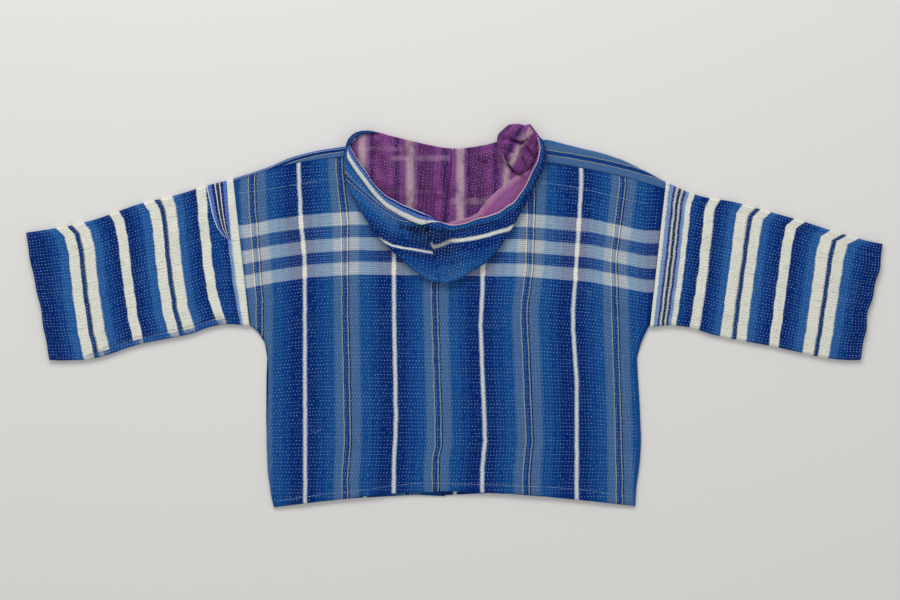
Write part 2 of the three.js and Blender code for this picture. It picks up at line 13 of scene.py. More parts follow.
import bpy
import numpy as np
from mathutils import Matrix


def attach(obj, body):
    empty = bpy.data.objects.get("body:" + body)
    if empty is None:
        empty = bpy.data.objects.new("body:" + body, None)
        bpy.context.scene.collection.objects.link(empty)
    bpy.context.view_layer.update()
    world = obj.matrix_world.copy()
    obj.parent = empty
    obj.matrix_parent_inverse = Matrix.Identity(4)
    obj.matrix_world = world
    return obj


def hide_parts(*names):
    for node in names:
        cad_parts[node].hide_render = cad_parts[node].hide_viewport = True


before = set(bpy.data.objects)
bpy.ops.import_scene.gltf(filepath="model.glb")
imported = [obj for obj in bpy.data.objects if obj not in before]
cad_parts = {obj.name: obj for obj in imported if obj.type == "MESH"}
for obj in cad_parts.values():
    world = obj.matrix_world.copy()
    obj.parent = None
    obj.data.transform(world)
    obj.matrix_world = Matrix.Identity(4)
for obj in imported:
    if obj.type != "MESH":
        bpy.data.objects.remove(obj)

log = logging.getLogger("jacket")

MM = 0.001
CENTRE_Y = -0.496            # from the table's origin to the middle of the jacket's box
WALL = 2.0                   # quilted cotton: two cloths and their running stitch
SEAM_GAP = 0.3
ROW_PITCH = 5.2              # from one row of running stitch to the next
STITCH_PITCH = 4.7           # from one stitch to the next along a row
TUCK = 3.0
FOLD_HEIGHT = 2 * WALL + TUCK
BACK_REST = 1.4
ARM_LIFT = TUCK - SEAM_GAP
EDGE_SPREAD = 45.0
CHART_STEP = 1.5             # mm to a step of the laying-out chart
CHART_MIDDLE = 455           # the chart's column at the plan's middle
CHART_ORIGIN = 316           # the chart's row at the plan's origin

Grid = np.ndarray
Rgb = tuple[float, float, float]


class Side(Enum):
    """The wearer's left, towards -X, or right, towards +X."""

    LEFT = "left"
    RIGHT = "right"

    @property
    def sign(self) -> int:
        """Which way along X this side lies."""
        return -1 if self is Side.LEFT else 1


# ---------------------------------------------------------------- curves from tables


def smooth(share: Grid) -> Grid:
    """Gives an eased share between 0 and 1."""
    share = np.clip(share, 0.0, 1.0)
    return share * share * (3.0 - 2.0 * share)


def mix(start: Grid, end: Grid, share: Grid) -> Grid:
    """Gives the value a share of the way from start to end."""
    return start + (end - start) * share


def follow(knots: list[float], values: list[float], at: Grid) -> Grid:
    """Reads a table on the smooth curve through its rows.

    Args:
        knots: the column that is read along, rising.
        values: the column that is wanted.
        at: the places to read it at.

    Returns:
        The values there.
    """
    xs, ys = np.asarray(knots, float), np.asarray(values, float)
    at = np.asarray(at, float)
    last = len(xs) - 1
    row = np.searchsorted(xs[1:last], at, side="left")
    here = np.arange(last + 1)
    before, after = np.maximum(here - 1, 0), np.minimum(here + 1, last)
    slope = (ys[after] - ys[before]) / (xs[after] - xs[before])
    width = xs[row + 1] - xs[row]
    share = np.clip((at - xs[row]) / width, 0.0, 1.0)
    start = ys[row] + slope[row] * width * share
    end = ys[row + 1] - slope[row + 1] * width * (1.0 - share)
    return mix(start, end, smooth(share))


def columns(names: str, rows: list[tuple[float, ...]]) -> dict[str, list[float]]:
    """Turns the rows of a table into named columns."""
    return {name: [row[i] for row in rows] for i, name in enumerate(names.split())}


def plan_of(points: list[tuple[float, float]]) -> Grid:
    """Turns points of the laying-out chart into the plan of the jacket."""
    chart = np.array(points, float)
    return np.stack([(chart[:, 0] - CHART_MIDDLE) * CHART_STEP, height_of(chart[:, 1])], axis=1)


def height_of(row: Grid) -> Grid:
    """Gives the plan's y of a row of the laying-out chart."""
    return (CHART_ORIGIN - row) * CHART_STEP


@dataclass(frozen=True)
class Crease:
    """A ridge of the laid cloth, or a trough where rise is negative."""

    x: float
    y: float
    to_x: float
    to_y: float
    spread: float
    rise: float

    def over(self, x: Grid, y: Grid) -> Grid:
        """Gives its height over points of the plan."""
        run_x, run_y = self.to_x - self.x, self.to_y - self.y
        length = math.hypot(run_x, run_y)
        along = ((x - self.x) * run_x + (y - self.y) * run_y) / length
        aside = ((x - self.x) * run_y - (y - self.y) * run_x) / length
        past = np.maximum(0.0, np.maximum(-along, along - length))
        return self.rise * np.exp(-(aside ** 2 + past ** 2) / self.spread ** 2)


def crease_height(creases: list[Crease], x: Grid, y: Grid) -> Grid:
    """Adds up the heights of several creases over points of the plan."""
    return sum((crease.over(x, y) for crease in creases), np.zeros_like(np.asarray(x, float)))


# ---------------------------------------------------------------- walls of cloth


class Shell:
    """A closed wall of cloth, gathered from grids of points and the strips that join them."""

    def __init__(self) -> None:
        """Starts with no points and no faces."""
        self.points: list[Grid] = []
        self.count = 0
        self.faces: list[tuple[int, ...]] = []
        self.corners: list[Grid] = []
        self.finishes: list[int] = []
        self.marks: dict[str, list[Grid]] = {}

    def vertices(self, grid: Grid, **marks: Grid) -> Grid:
        """Puts in a grid of points.

        Args:
            grid: lines of points, in millimetres.
            marks: values of point attributes for the same grid, 0 where left out.

        Returns:
            The numbers of its vertices, in the same grid.
        """
        flat = grid.reshape(-1, 3)
        ids = np.arange(self.count, self.count + len(flat)).reshape(grid.shape[:-1])
        for name in set(marks) | set(self.marks):
            kept = self.marks.setdefault(name, [np.zeros(self.count)] if self.count else [])
            kept.append(np.asarray(marks.get(name, np.zeros(len(flat))), float).reshape(-1))
        self.points.append(flat)
        self.count += len(flat)
        return ids

    def cover(self, ids: Grid, cloth: Grid, flip: bool, finish: int = 0) -> None:
        """Covers a grid of vertices with faces.

        Args:
            ids: the vertices. A face looks along (next line) x (next point).
            cloth: the place of each on the cloth, in millimetres.
            flip: turns the faces round.
            finish: the number of the material.
        """
        def around(grid: Grid) -> Grid:
            """Gives the four corners of each face in turn."""
            quad = [grid[:-1, :-1], grid[1:, :-1], grid[1:, 1:], grid[:-1, 1:]]
            if flip:
                quad = quad[::-1]
            return np.stack(quad, axis=2)

        quads = around(ids).reshape(-1, 4)
        self.faces.extend(map(tuple, quads.tolist()))
        self.corners.append(around(cloth).reshape(-1, 2))
        self.finishes.extend([finish] * len(quads))

    def join(self, inner: Grid, outer: Grid, cloth: Grid, finish: int = 0) -> None:
        """Joins the edge of an inner grid to the edge of an outer one beside it.

        Args:
            inner: vertices along the inner edge.
            outer: vertices along the outer edge.
            cloth: the place on the cloth of each outer vertex.
            finish: the number of the material.
        """
        i = j = 0
        corners = []
        while i + 1 < len(inner) or j + 1 < len(outer):
            if (i + 1) * (len(outer) - 1) <= (j + 1) * (len(inner) - 1):
                self.faces.append((int(inner[i]), int(inner[i + 1]), int(outer[j])))
                corners += [cloth[j]] * 3
                i += 1
            else:
                self.faces.append((int(inner[i]), int(outer[j + 1]), int(outer[j])))
                corners += [cloth[j], cloth[j + 1], cloth[j]]
                j += 1
            self.finishes.append(finish)
        self.corners.append(np.array(corners))

    def panel(self, outer: Grid, inner: Grid, cloth: Grid, flip: bool = False,
              **marks: Grid) -> None:
        """Makes a panel of an outer face, an inner face and the rim round them.

        Args:
            outer: the fine grid of the outer face.
            inner: the plain grid of the inner face.
            cloth: the place on the cloth of each outer point.
            flip: turns every face round.
            marks: point attributes, for the inner face too where its grid is as fine.
        """
        alike = marks if inner.shape == outer.shape else {}
        out, into = self.vertices(outer, **marks), self.vertices(inner, **alike)
        rows = np.linspace(0, len(cloth) - 1, len(inner)).round().astype(int)
        cols = np.linspace(0, cloth.shape[1] - 1, inner.shape[1]).round().astype(int)
        self.cover(out, cloth, flip)
        self.cover(into, cloth[np.ix_(rows, cols)], not flip)
        edges = zip(edges_of(into), edges_of(out), edges_of(cloth))
        for inner_edge, outer_edge, places in edges:
            if flip:
                inner_edge, outer_edge, places = inner_edge[::-1], outer_edge[::-1], places[::-1]
            self.join(inner_edge, outer_edge, places)

    def tube(self, outer: Grid, inner: Grid, cloth: Grid, flip: bool, **marks: Grid) -> None:
        """Makes a tube open at both ends.

        Args:
            outer: the rings of the outer face.
            inner: the rings of the inner face.
            cloth: the place on the cloth of each outer point, with one more to close a ring.
            flip: turns every face round.
            marks: point attributes of the outer face.
        """
        def closed(grid: Grid) -> Grid:
            """Repeats the first point of each ring at its end."""
            return np.concatenate([grid, grid[:, :1]], axis=1)

        out, into = closed(self.vertices(outer, **marks)), closed(self.vertices(inner))
        rows = np.linspace(0, len(cloth) - 1, len(into)).round().astype(int)
        cols = np.linspace(0, cloth.shape[1] - 1, into.shape[1]).round().astype(int)
        self.cover(out, cloth, flip)
        self.cover(into, cloth[np.ix_(rows, cols)], not flip)
        for end, backwards in ((0, True), (-1, False)):
            way = slice(None, None, -1 if backwards != flip else 1)
            self.join(into[end][way], out[end][way], cloth[end][way])

    def slab(self, outline: list[tuple[float, float]], low: float, high: float,
             turn: Grid) -> None:
        """Makes a flat piece of cloth from its outline.

        Args:
            outline: its corners in the plan, anticlockwise or clockwise.
            low: the height of its underside.
            high: the height of its upper side.
            turn: the place on the cloth of each corner.
        """
        ring = np.array(outline, float)
        area = np.sum(ring[:, 0] * np.roll(ring[:, 1], -1) - np.roll(ring[:, 0], -1) * ring[:, 1])
        if area < 0:
            ring, turn = ring[::-1], turn[::-1]
        count = len(ring)
        levels = [np.column_stack([ring, np.full(count, z)]) for z in (low, high)]
        bottom, top = (self.vertices(level[None])[0] for level in levels)
        self.faces.append(tuple(int(i) for i in top))
        self.faces.append(tuple(int(i) for i in bottom[::-1]))
        self.corners += [turn, turn[::-1]]
        self.finishes += [0, 0]
        for i in range(count):
            k = (i + 1) % count
            self.faces.append((int(bottom[i]), int(bottom[k]), int(top[k]), int(top[i])))
            self.corners.append(np.array([turn[i], turn[k], turn[k], turn[i]]))
            self.finishes.append(0)

    def binding(self, outer: Grid, inner: Grid, low: Grid, top: Grid, cloth: Grid) -> None:
        """Makes a narrow band of cloth that stands along a line.

        Args:
            outer: the line of its outer edge in the plan.
            inner: the line of its inner edge, with as many points.
            low: the height of its foot along the line.
            top: the height of its top along the line.
            cloth: the place on the cloth of each of the six corners round it.
        """
        shares = ((0.0, 0.0, 0.0), (0.0, 1.0, -0.9), (0.3, 1.0, 0.0), (0.75, 1.0, -0.1),
                  (1.0, 1.0, -1.2), (1.0, 0.0, 0.0))
        rings = [np.column_stack([mix(outer, inner, way), mix(low, top, up) + add])
                 for way, up, add in shares]
        ids = self.vertices(np.stack(rings, axis=1))
        closed = np.concatenate([ids, ids[:, :1]], axis=1)
        places = np.broadcast_to(cloth, (len(outer), *cloth.shape))
        places = np.concatenate([places, places[:, :1]], axis=1)
        self.cover(closed, places, False)
        for ring in (ids[0], ids[-1][::-1]):
            self.faces.append(tuple(int(i) for i in ring))
            self.corners.append(np.array(cloth, float))
            self.finishes.append(0)

    def build(self, name: str, finishes: list[bpy.types.Material]) -> bpy.types.Object:
        """Makes the mesh and its object.

        Args:
            name: the name of the piece.
            finishes: its materials, in the order of the faces' numbers.

        Returns:
            The object, in the scene.
        """
        mesh = bpy.data.meshes.new(name)
        points = np.concatenate(self.points) + (0.0, CENTRE_Y, 0.0)
        mesh.from_pydata((points * MM).tolist(), [], self.faces)
        places = mesh.uv_layers.new(name="cloth")
        places.data.foreach_set("uv", (np.concatenate(self.corners) * MM).ravel())
        mesh.polygons.foreach_set("material_index", self.finishes)
        mesh.polygons.foreach_set("use_smooth", [True] * len(self.faces))
        for name_of_mark, values in self.marks.items():
            mark = mesh.attributes.new(name_of_mark, "FLOAT", "POINT")
            mark.data.foreach_set("value", np.concatenate(values))
        for finish in finishes:
            mesh.materials.append(finish)
        mesh.validate()
        mesh.update()
        piece = bpy.data.objects.new(name, mesh)
        bpy.context.scene.collection.objects.link(piece)
        triangles = sum(len(face) - 2 for face in self.faces)
        log.info("%s: %d triangles", name, triangles)
        return piece


def edges_of(grid: Grid) -> list[Grid]:
    """Gives the four edges of a grid in turn, each running on round the panel."""
    return [grid[:, 0], grid[-1], grid[::-1, -1], grid[0, ::-1]]


def normals_of(grid: Grid) -> Grid:
    """Gives the normals of a grid of points, along (next line) x (next point)."""
    across, along = np.gradient(grid, axis=0), np.gradient(grid, axis=1)
    normal = np.cross(across, along)
    return normal / np.maximum(np.linalg.norm(normal, axis=2, keepdims=True), 1e-9)


# ---------------------------------------------------------------- shader building


def paint(red: float, green: float, blue: float) -> tuple[float, float, float, float]:
    """Gives the linear colour of an sRGB colour from 0 to 255."""
    def linear(value: float) -> float:
        """Undoes the sRGB curve for one channel."""
        value = min(max(value, 0.0), 255.0) / 255.0
        return value / 12.92 if value <= 0.04045 else ((value + 0.055) / 1.055) ** 2.4

    return linear(red), linear(green), linear(blue), 1.0


class Wires:
    """Builds one node tree by short calls."""

    def __init__(self, tree: bpy.types.NodeTree) -> None:
        """Keeps the tree that is built in."""
        self.tree = tree

    def add(self, kind: str, **settings: object) -> bpy.types.Node:
        """Adds a node with some of its settings."""
        node = self.tree.nodes.new(kind)
        for name, value in settings.items():
            setattr(node, name, value)
        return node

    def plug(self, socket: bpy.types.NodeSocket, value: object) -> None:
        """Links an output to a socket, or sets the socket's own value."""
        if isinstance(value, bpy.types.NodeSocket):
            self.tree.links.new(value, socket)
        else:
            socket.default_value = value

    def sum(self, operation: str, *values: object) -> bpy.types.NodeSocket:
        """Adds a Math node and gives its output."""
        node = self.add("ShaderNodeMath", operation=operation)
        for socket, value in zip(node.inputs, values):
            self.plug(socket, value)
        return node.outputs[0]

    def vector(self, operation: str, *values: object) -> bpy.types.NodeSocket:
        """Adds a Vector Math node and gives its vector output."""
        node = self.add("ShaderNodeVectorMath", operation=operation)
        for socket, value in zip(node.inputs, values):
            self.plug(socket, value)
        return node.outputs[0]

    def split(self, vector: bpy.types.NodeSocket) -> list[bpy.types.NodeSocket]:
        """Gives the three parts of a vector."""
        node = self.add("ShaderNodeSeparateXYZ")
        self.plug(node.inputs[0], vector)
        return list(node.outputs)

    def joined(self, x: object, y: object, z: object = 0.0) -> bpy.types.NodeSocket:
        """Makes a vector of three parts."""
        node = self.add("ShaderNodeCombineXYZ")
        for socket, value in zip(node.inputs, (x, y, z)):
            self.plug(socket, value)
        return node.outputs[0]

    def blend(self, share: object, first: object, second: object,
              how: str = "MIX") -> bpy.types.NodeSocket:
        """Mixes two colours."""
        node = self.add("ShaderNodeMix", data_type="RGBA", blend_type=how)
        for socket, value in ((node.inputs[0], share), (node.inputs[6], first),
                              (node.inputs[7], second)):
            self.plug(socket, value)
        return node.outputs[2]

    def noise(self, vector: object, scale: float, detail: float = 2.0,
              rough: float = 0.5) -> bpy.types.NodeSocket:
        """Adds a noise texture and gives its value, about 0.5."""
        node = self.add("ShaderNodeTexNoise")
        self.plug(node.inputs["Vector"], vector)
        for name, value in (("Scale", scale), ("Detail", detail), ("Roughness", rough)):
            self.plug(node.inputs[name], value)
        return node.outputs["Fac"]

    def between(self, value: object, low: float, high: float, to_low: float = 0.0,
                to_high: float = 1.0) -> bpy.types.NodeSocket:
        """Maps a range of values to another, smoothly and clamped."""
        node = self.add("ShaderNodeMapRange", interpolation_type="SMOOTHSTEP")
        for socket, part in zip(node.inputs, (value, low, high, to_low, to_high)):
            self.plug(socket, part)
        return node.outputs[0]

    def ramp(self, share: object, stops: list[tuple[float, tuple]],
             how: str = "CONSTANT") -> bpy.types.NodeSocket:
        """Adds a colour ramp and gives its colour."""
        node = self.add("ShaderNodeValToRGB")
        band = node.color_ramp
        band.interpolation = how
        band.elements[0].position, band.elements[0].color = stops[0]
        band.elements[1].position, band.elements[1].color = stops[1]
        for position, tint in stops[2:]:
            band.elements.new(position).color = tint
        self.plug(node.inputs[0], share)
        return node.outputs[0]

    def stripes(self, along: object, chart: "Chart") -> bpy.types.NodeSocket:
        """Reads a stripe chart at a place in millimetres."""
        share = self.sum("DIVIDE", self.sum("SUBTRACT", along, chart.start), chart.width)
        if chart.repeats:
            share = self.sum("FRACT", share)
        stops = chart.stops()
        colour = self.ramp(share, stops[:30], "LINEAR")
        for first in range(30, len(stops), 29):
            part = stops[first - 1:first + 29]
            further = self.ramp(share, part, "LINEAR")
            past = self.sum("GREATER_THAN", share, (part[0][0] + part[1][0]) / 2)
            colour = self.blend(past, colour, further)
        return colour


@dataclass(frozen=True)
class Chart:
    """Woven stripes across a cloth.

    A row holds where a stripe begins, in millimetres, its colour, and over how far on each
    side of its start it blends into the stripe before, where that isn't a clean join.
    """

    rows: tuple[tuple, ...]
    end: float
    repeats: bool = False
    crisp: float = 0.25

    @property
    def start(self) -> float:
        """Where the first stripe begins."""
        return self.rows[0][0]

    @property
    def width(self) -> float:
        """From the start of the first stripe to the end of the last."""
        return self.end - self.start

    def stops(self) -> list[tuple[float, tuple]]:
        """Gives the stops of its colour ramp, two for each join."""
        found = [(0.0, paint(*self.rows[0][1]))]
        for before, row in zip(self.rows, self.rows[1:]):
            reach = row[2] if len(row) > 2 else self.crisp
            for at, tint in ((row[0] - reach, before[1]), (row[0] + reach, row[1])):
                found.append(((at - self.start) / self.width, paint(*tint)))
        return found

    def paler(self, add: Rgb, gain: float) -> "Chart":
        """Gives the same stripes as they show through a pale weft."""
        rows = tuple((row[0], tuple(min(more + gain * part, most) for part, more, most
                                    in zip(row[1], add, (248.0, 240.0, 220.0))), *row[2:])
                     for row in self.rows)
        return Chart(rows, self.end, self.repeats, self.crisp)

    def light(self, along: Grid) -> Grid:
        """Gives how light the stripes are at some places, from 0 to 1."""
        if self.repeats:
            along = self.start + (along - self.start) % self.width
        starts = np.array([row[0] for row in self.rows])
        tones = np.array([sum(row[1]) / 765 for row in self.rows])
        return tones[np.clip(np.searchsorted(starts, along, side="right") - 1, 0, None)]


# The dyes, each mixed once and used for every stripe it appears in.
CREAM: Rgb = (230, 230, 215)
CHALK: Rgb = (215, 215, 210)
STONE: Rgb = (150, 150, 145)
UMBER: Rgb = (60, 55, 65)
MIST: Rgb = (135, 150, 175)
SKY: Rgb = (115, 150, 195)
FADED: Rgb = (70, 105, 150)
CORNFLOWER: Rgb = (75, 115, 185)
BRIGHT: Rgb = (35, 90, 155)
MIDDLE: Rgb = (15, 75, 140)
INDIGO: Rgb = (5, 60, 130)
NAVY: Rgb = (0, 40, 110)
INK: Rgb = (5, 30, 80)
VIOLET: Rgb = (35, 20, 105)
GREEN: Rgb = (20, 55, 65)
PLUM: Rgb = (65, 30, 90)
WINE: Rgb = (90, 40, 100)
PURPLE: Rgb = (120, 60, 125)
MAUVE: Rgb = (140, 90, 145)
ROSE: Rgb = (185, 155, 165)

BODY_REPEAT = 135.0          # from one white stripe to the next


def body_stripes(white: Rgb, light: Rgb) -> Chart:
    """Charts the body's cloth: a white stripe, then blues that lighten to a pair of thin lines.

    Args:
        white: the dye of the white stripe.
        light: the lightest blue, on both sides of the thin lines.

    Returns:
        The chart, which repeats.
    """
    rows = ((-3.5, MIST), (-2.0, white), (2.0, MIST), (3.5, NAVY), (17.5, INDIGO, 2.5),
            (32.0, MIDDLE, 3.0), (46.0, light, 2.5), (58.0, STONE), (59.5, INK), (61.0, BRIGHT),
            (62.5, INDIGO), (67.0, STONE), (68.5, INK), (70.5, light), (84.5, MIDDLE, 2.5),
            (99.0, INDIGO, 3.0), (112.0, NAVY, 2.5))
    return Chart(rows, rows[0][0] + BODY_REPEAT, repeats=True)


def sleeve_stripes(armhole: tuple, singles: tuple, doubles: tuple) -> Chart:
    """Charts a sleeve: single cream stripes by turns with double ones, and blues between.

    Args:
        armhole: the stripes next to the armhole.
        singles: where each single cream stripe starts.
        doubles: where each double cream stripe starts, one after each single.

    Returns:
        The chart, from the armhole to the cuff.
    """
    single, wide, narrow, line = 14.0, 16.5, 15.5, 1.5
    rows = list(armhole)
    for index, (thin, pair) in enumerate(zip(singles, doubles)):
        after = thin + single
        step = (pair - after) / 3
        rows += [(thin, CREAM), (after, NAVY), (after + step, INDIGO, 3.0),
                 (after + 2 * step, BRIGHT, 3.0), (pair, CREAM)]
        inner = pair + wide
        outer = inner + 8.0
        last = outer + narrow
        rows += [(inner, STONE), (inner + line, INK), (inner + 2 * line, INDIGO),
                 (outer - line, UMBER), (outer, CREAM), (last, BRIGHT)]
        if index + 1 < len(singles):
            step = (singles[index + 1] - last) / 3
            rows += [(last + step, INDIGO, 3.0), (last + 2 * step, NAVY, 3.0)]
        else:
            rows += [(last + 14.0, INDIGO, 3.0), (last + 27.0, NAVY, 2.5)]
    return Chart(tuple(rows), 660.0)


BACK_CHART = body_stripes(CHALK, FADED)
HOOD_CHART = body_stripes(CREAM, BRIGHT)
LEFT_SLEEVE_CHART = sleeve_stripes(
    ((300.0, CREAM), (331.0, SKY), (335.5, NAVY), (342.5, INDIGO, 2.0)),
    singles=(359.5, 485.0), doubles=(407.0, 535.0))
RIGHT_SLEEVE_CHART = sleeve_stripes(
    ((280.0, CREAM), (309.0, SKY), (314.5, VIOLET), (318.5, CHALK), (320.5, GREEN),
     (325.5, CHALK), (327.5, VIOLET), (331.0, SKY), (336.0, CREAM), (343.0, INDIGO),
     (353.5, NAVY, 2.5)), singles=(364.0, 486.0), doubles=(410.5, 537.0))

# Seven narrow stripes of a border, drawn together to a point where the cloth is turned in.
WEDGE_CHART = Chart((
    (0.0, CHALK), (1.0, CORNFLOWER), (4.5, VIOLET), (7.5, CHALK), (8.5, GREEN), (11.5, CHALK),
    (12.5, VIOLET), (15.0, CORNFLOWER),
), 18.5)

# The selvedge turned out along the left rim of the hood, from its free edge to the rim.
RIM_CHART = Chart((
    (-3.0, CHALK), (5.5, STONE), (6.5, CORNFLOWER), (11.5, VIOLET), (14.5, CORNFLOWER),
    (16.0, CHALK),
), 17.5)

LEFT_SHOULDER_CHART = Chart((
    (-60.0, INDIGO), (0.0, BRIGHT), (2.0, MIST), (3.0, NAVY), (7.0, STONE), (8.0, FADED),
), 60.0)

RIGHT_SHOULDER_CHART = Chart((
    (-5.0, FADED), (11.0, STONE), (12.0, INK), (12.5, INDIGO), (17.0, INK), (18.0, STONE),
    (19.0, FADED), (30.0, BRIGHT, 3.0), (40.0, INDIGO, 2.0),
), 70.0)

LINING_CHART = Chart((
    (-165.0, WINE), (-150.0, PURPLE, 3.0), (-144.0, ROSE, 2.5), (-134.0, MAUVE, 2.0),
    (-128.0, PLUM, 2.0), (-121.0, PURPLE, 2.0), (-91.0, PLUM, 2.5), (-83.0, PURPLE, 2.0),
    (-73.0, ROSE, 3.0), (-62.0, MAUVE, 2.0), (-56.0, WINE, 2.0), (-30.0, PURPLE, 3.0),
    (-19.0, PLUM, 2.0), (-10.0, PURPLE, 2.0), (2.5, ROSE, 3.0), (12.5, MAUVE, 2.0),
    (17.0, PLUM, 2.0), (25.0, WINE, 2.5), (40.0, PURPLE, 4.0), (57.0, PLUM, 2.5),
    (65.0, PURPLE, 2.0), (72.0, ROSE, 2.5), (81.0, PURPLE, 3.0),
), 150.0)


def make_group(name: str, inputs: dict[str, float], outputs: list[str]) -> tuple:
    """Starts a shader node group.

    Args:
        name: the name of the group.
        inputs: its number inputs and their values; "Cloth" is a vector.
        outputs: its outputs; one that ends in "Colour" is a colour.

    Returns:
        Its wires, its input sockets by name and its output node.
    """
    tree = bpy.data.node_groups.new(name, "ShaderNodeTree")
    for title, value in inputs.items():
        kind = "NodeSocketVector" if title == "Cloth" else "NodeSocketFloat"
        kind = "NodeSocketColor" if title.endswith("Colour") else kind
        socket = tree.interface.new_socket(title, in_out="INPUT", socket_type=kind)
        if kind == "NodeSocketFloat":
            socket.default_value = value
    for title in outputs:
        kind = "NodeSocketColor" if title.endswith("Colour") else "NodeSocketFloat"
        tree.interface.new_socket(title, in_out="OUTPUT", socket_type=kind)
    wires = Wires(tree)
    source = wires.add("NodeGroupInput")
    sink = wires.add("NodeGroupOutput")
    return wires, {socket.name: socket for socket in source.outputs if socket.name}, sink


def weave_group() -> bpy.types.NodeTree:
    """Makes the group for woven cotton: threads, slubs, sewn-in puckers and their painted shade."""
    wires, given, sink = make_group(
        "Quilted cotton",
        {"Cloth": 0, "Stitch Pitch": STITCH_PITCH, "Row Pitch": ROW_PITCH, "Thread Pitch": 0.5,
         "Crimp": 0.3},
        ["Height", "Shade"],
    )
    u, v, _ = wires.split(given["Cloth"])
    row = wires.sum("DIVIDE", v, given["Row Pitch"])
    number = wires.sum("FLOOR", wires.sum("ADD", row, 0.5))
    valley = wires.sum("COSINE", wires.sum("MULTIPLY", row, 2 * math.pi))
    valley = wires.between(valley, 0.2, 1.0)
    phase = wires.sum("MULTIPLY", number, 0.381966)
    stitch = wires.sum("ADD", wires.sum("DIVIDE", u, given["Stitch Pitch"]), phase)
    dimple = wires.sum("COSINE", wires.sum("MULTIPLY", stitch, 2 * math.pi))
    sunk = wires.sum("MULTIPLY", valley, wires.sum("MULTIPLY_ADD", dimple, 0.5, 0.5))
    pull = wires.noise(wires.vector("MULTIPLY", given["Cloth"], (0.16, 0.5, 1.0)), 1.0, 3.0)
    fray = wires.noise(wires.vector("MULTIPLY", given["Cloth"], (0.9, 0.5, 1.0)), 1.0, 3.0, 0.6)
    warp = wires.sum("SINE", wires.sum("MULTIPLY", wires.sum("DIVIDE", u, given["Thread Pitch"]),
                                       2 * math.pi))
    weft = wires.sum("SINE", wires.sum("MULTIPLY", wires.sum("DIVIDE", v, given["Thread Pitch"]),
                                       2 * math.pi))
    threads = wires.sum("MULTIPLY", warp, weft)
    tight = wires.noise(wires.vector("MULTIPLY", given["Cloth"], (0.05, 0.09, 1.0)), 1.0, 2.0)
    tight = wires.between(tight, 0.35, 0.65, 0.25, 1.0)
    bent = wires.noise(wires.vector("MULTIPLY", given["Cloth"], (0.008, 0.044, 1.0)), 1.0, 1.0)
    crimp = wires.between(wires.sum("ABSOLUTE", wires.sum("SUBTRACT", bent, 0.5)), 0.0, 0.024,
                          1.0, 0.0)
    short = wires.noise(wires.vector("MULTIPLY", given["Cloth"], (0.05, 0.02, 1.0)), 1.0, 1.0)
    crimp = wires.sum("MULTIPLY", crimp, wires.between(short, 0.44, 0.6))
    crimp = wires.sum("MULTIPLY", crimp, given["Crimp"])
    height = wires.sum("MULTIPLY", wires.sum("MULTIPLY", valley, tight), -0.06)
    height = wires.sum("MULTIPLY_ADD", crimp, -0.7, height)
    height = wires.sum("MULTIPLY_ADD", sunk, -0.24, height)
    height = wires.sum("MULTIPLY_ADD", pull, 1.5, height)
    height = wires.sum("MULTIPLY_ADD", fray, 0.55, height)
    height = wires.sum("MULTIPLY_ADD", threads, 0.03, height)
    wires.plug(sink.inputs["Height"], height)
    streak = wires.noise(wires.vector("MULTIPLY", given["Cloth"], (0.8, 0.02, 1.0)), 1.0, 4.0, 0.6)
    weft_streak = wires.noise(wires.vector("MULTIPLY", given["Cloth"], (0.03, 0.7, 1.0)), 1.0,
                              3.0, 0.6)
    # the cloth's own uneven tone: streaks along warp and weft, slubs and grain
    shade = wires.sum("MULTIPLY_ADD", streak, 0.34, 0.62)
    shade = wires.sum("MULTIPLY_ADD", weft_streak, 0.22, shade)
    shade = wires.sum("MULTIPLY_ADD", fray, 0.30, shade)
    grain = wires.noise(wires.vector("MULTIPLY", given["Cloth"], (1.1, 0.9, 1.0)), 1.0, 3.0, 0.7)
    shade = wires.sum("MULTIPLY_ADD", grain, 0.8, shade)
    shade = wires.sum("SUBTRACT", shade, 0.45)
    # painted shade: the colour darkens in the row valleys, along the creases and in the dimples
    shade = wires.sum("MULTIPLY_ADD", wires.sum("MULTIPLY", valley, tight), -0.03, shade)
    shade = wires.sum("MULTIPLY_ADD", crimp, -0.13, shade)
    shade = wires.sum("MULTIPLY_ADD", sunk, -0.05, shade)
    shade = wires.sum("MULTIPLY_ADD", threads, 0.05, shade)
    wires.plug(sink.inputs["Shade"], shade)
    return wires.tree


def fade_group() -> bpy.types.NodeTree:
    """Makes the group for worn, washed-out patches of a cloth."""
    wires, given, sink = make_group("Washed and worn", {"Cloth": 0, "Colour": 0, "Wear": 0.2},
                                    ["Colour"])
    broad = wires.noise(wires.vector("MULTIPLY", given["Cloth"], (0.012, 0.02, 1.0)), 1.0, 4.0,
                        0.65)
    small = wires.noise(wires.vector("MULTIPLY", given["Cloth"], (0.12, 0.16, 1.0)), 1.0, 3.0)
    worn = wires.sum("ADD", wires.between(broad, 0.45, 0.75), wires.between(small, 0.5, 0.85))
    share = wires.sum("MULTIPLY", worn, given["Wear"])
    wires.plug(sink.inputs["Colour"],
               wires.blend(share, given["Colour"], paint(70, 118, 168)))
    return wires.tree


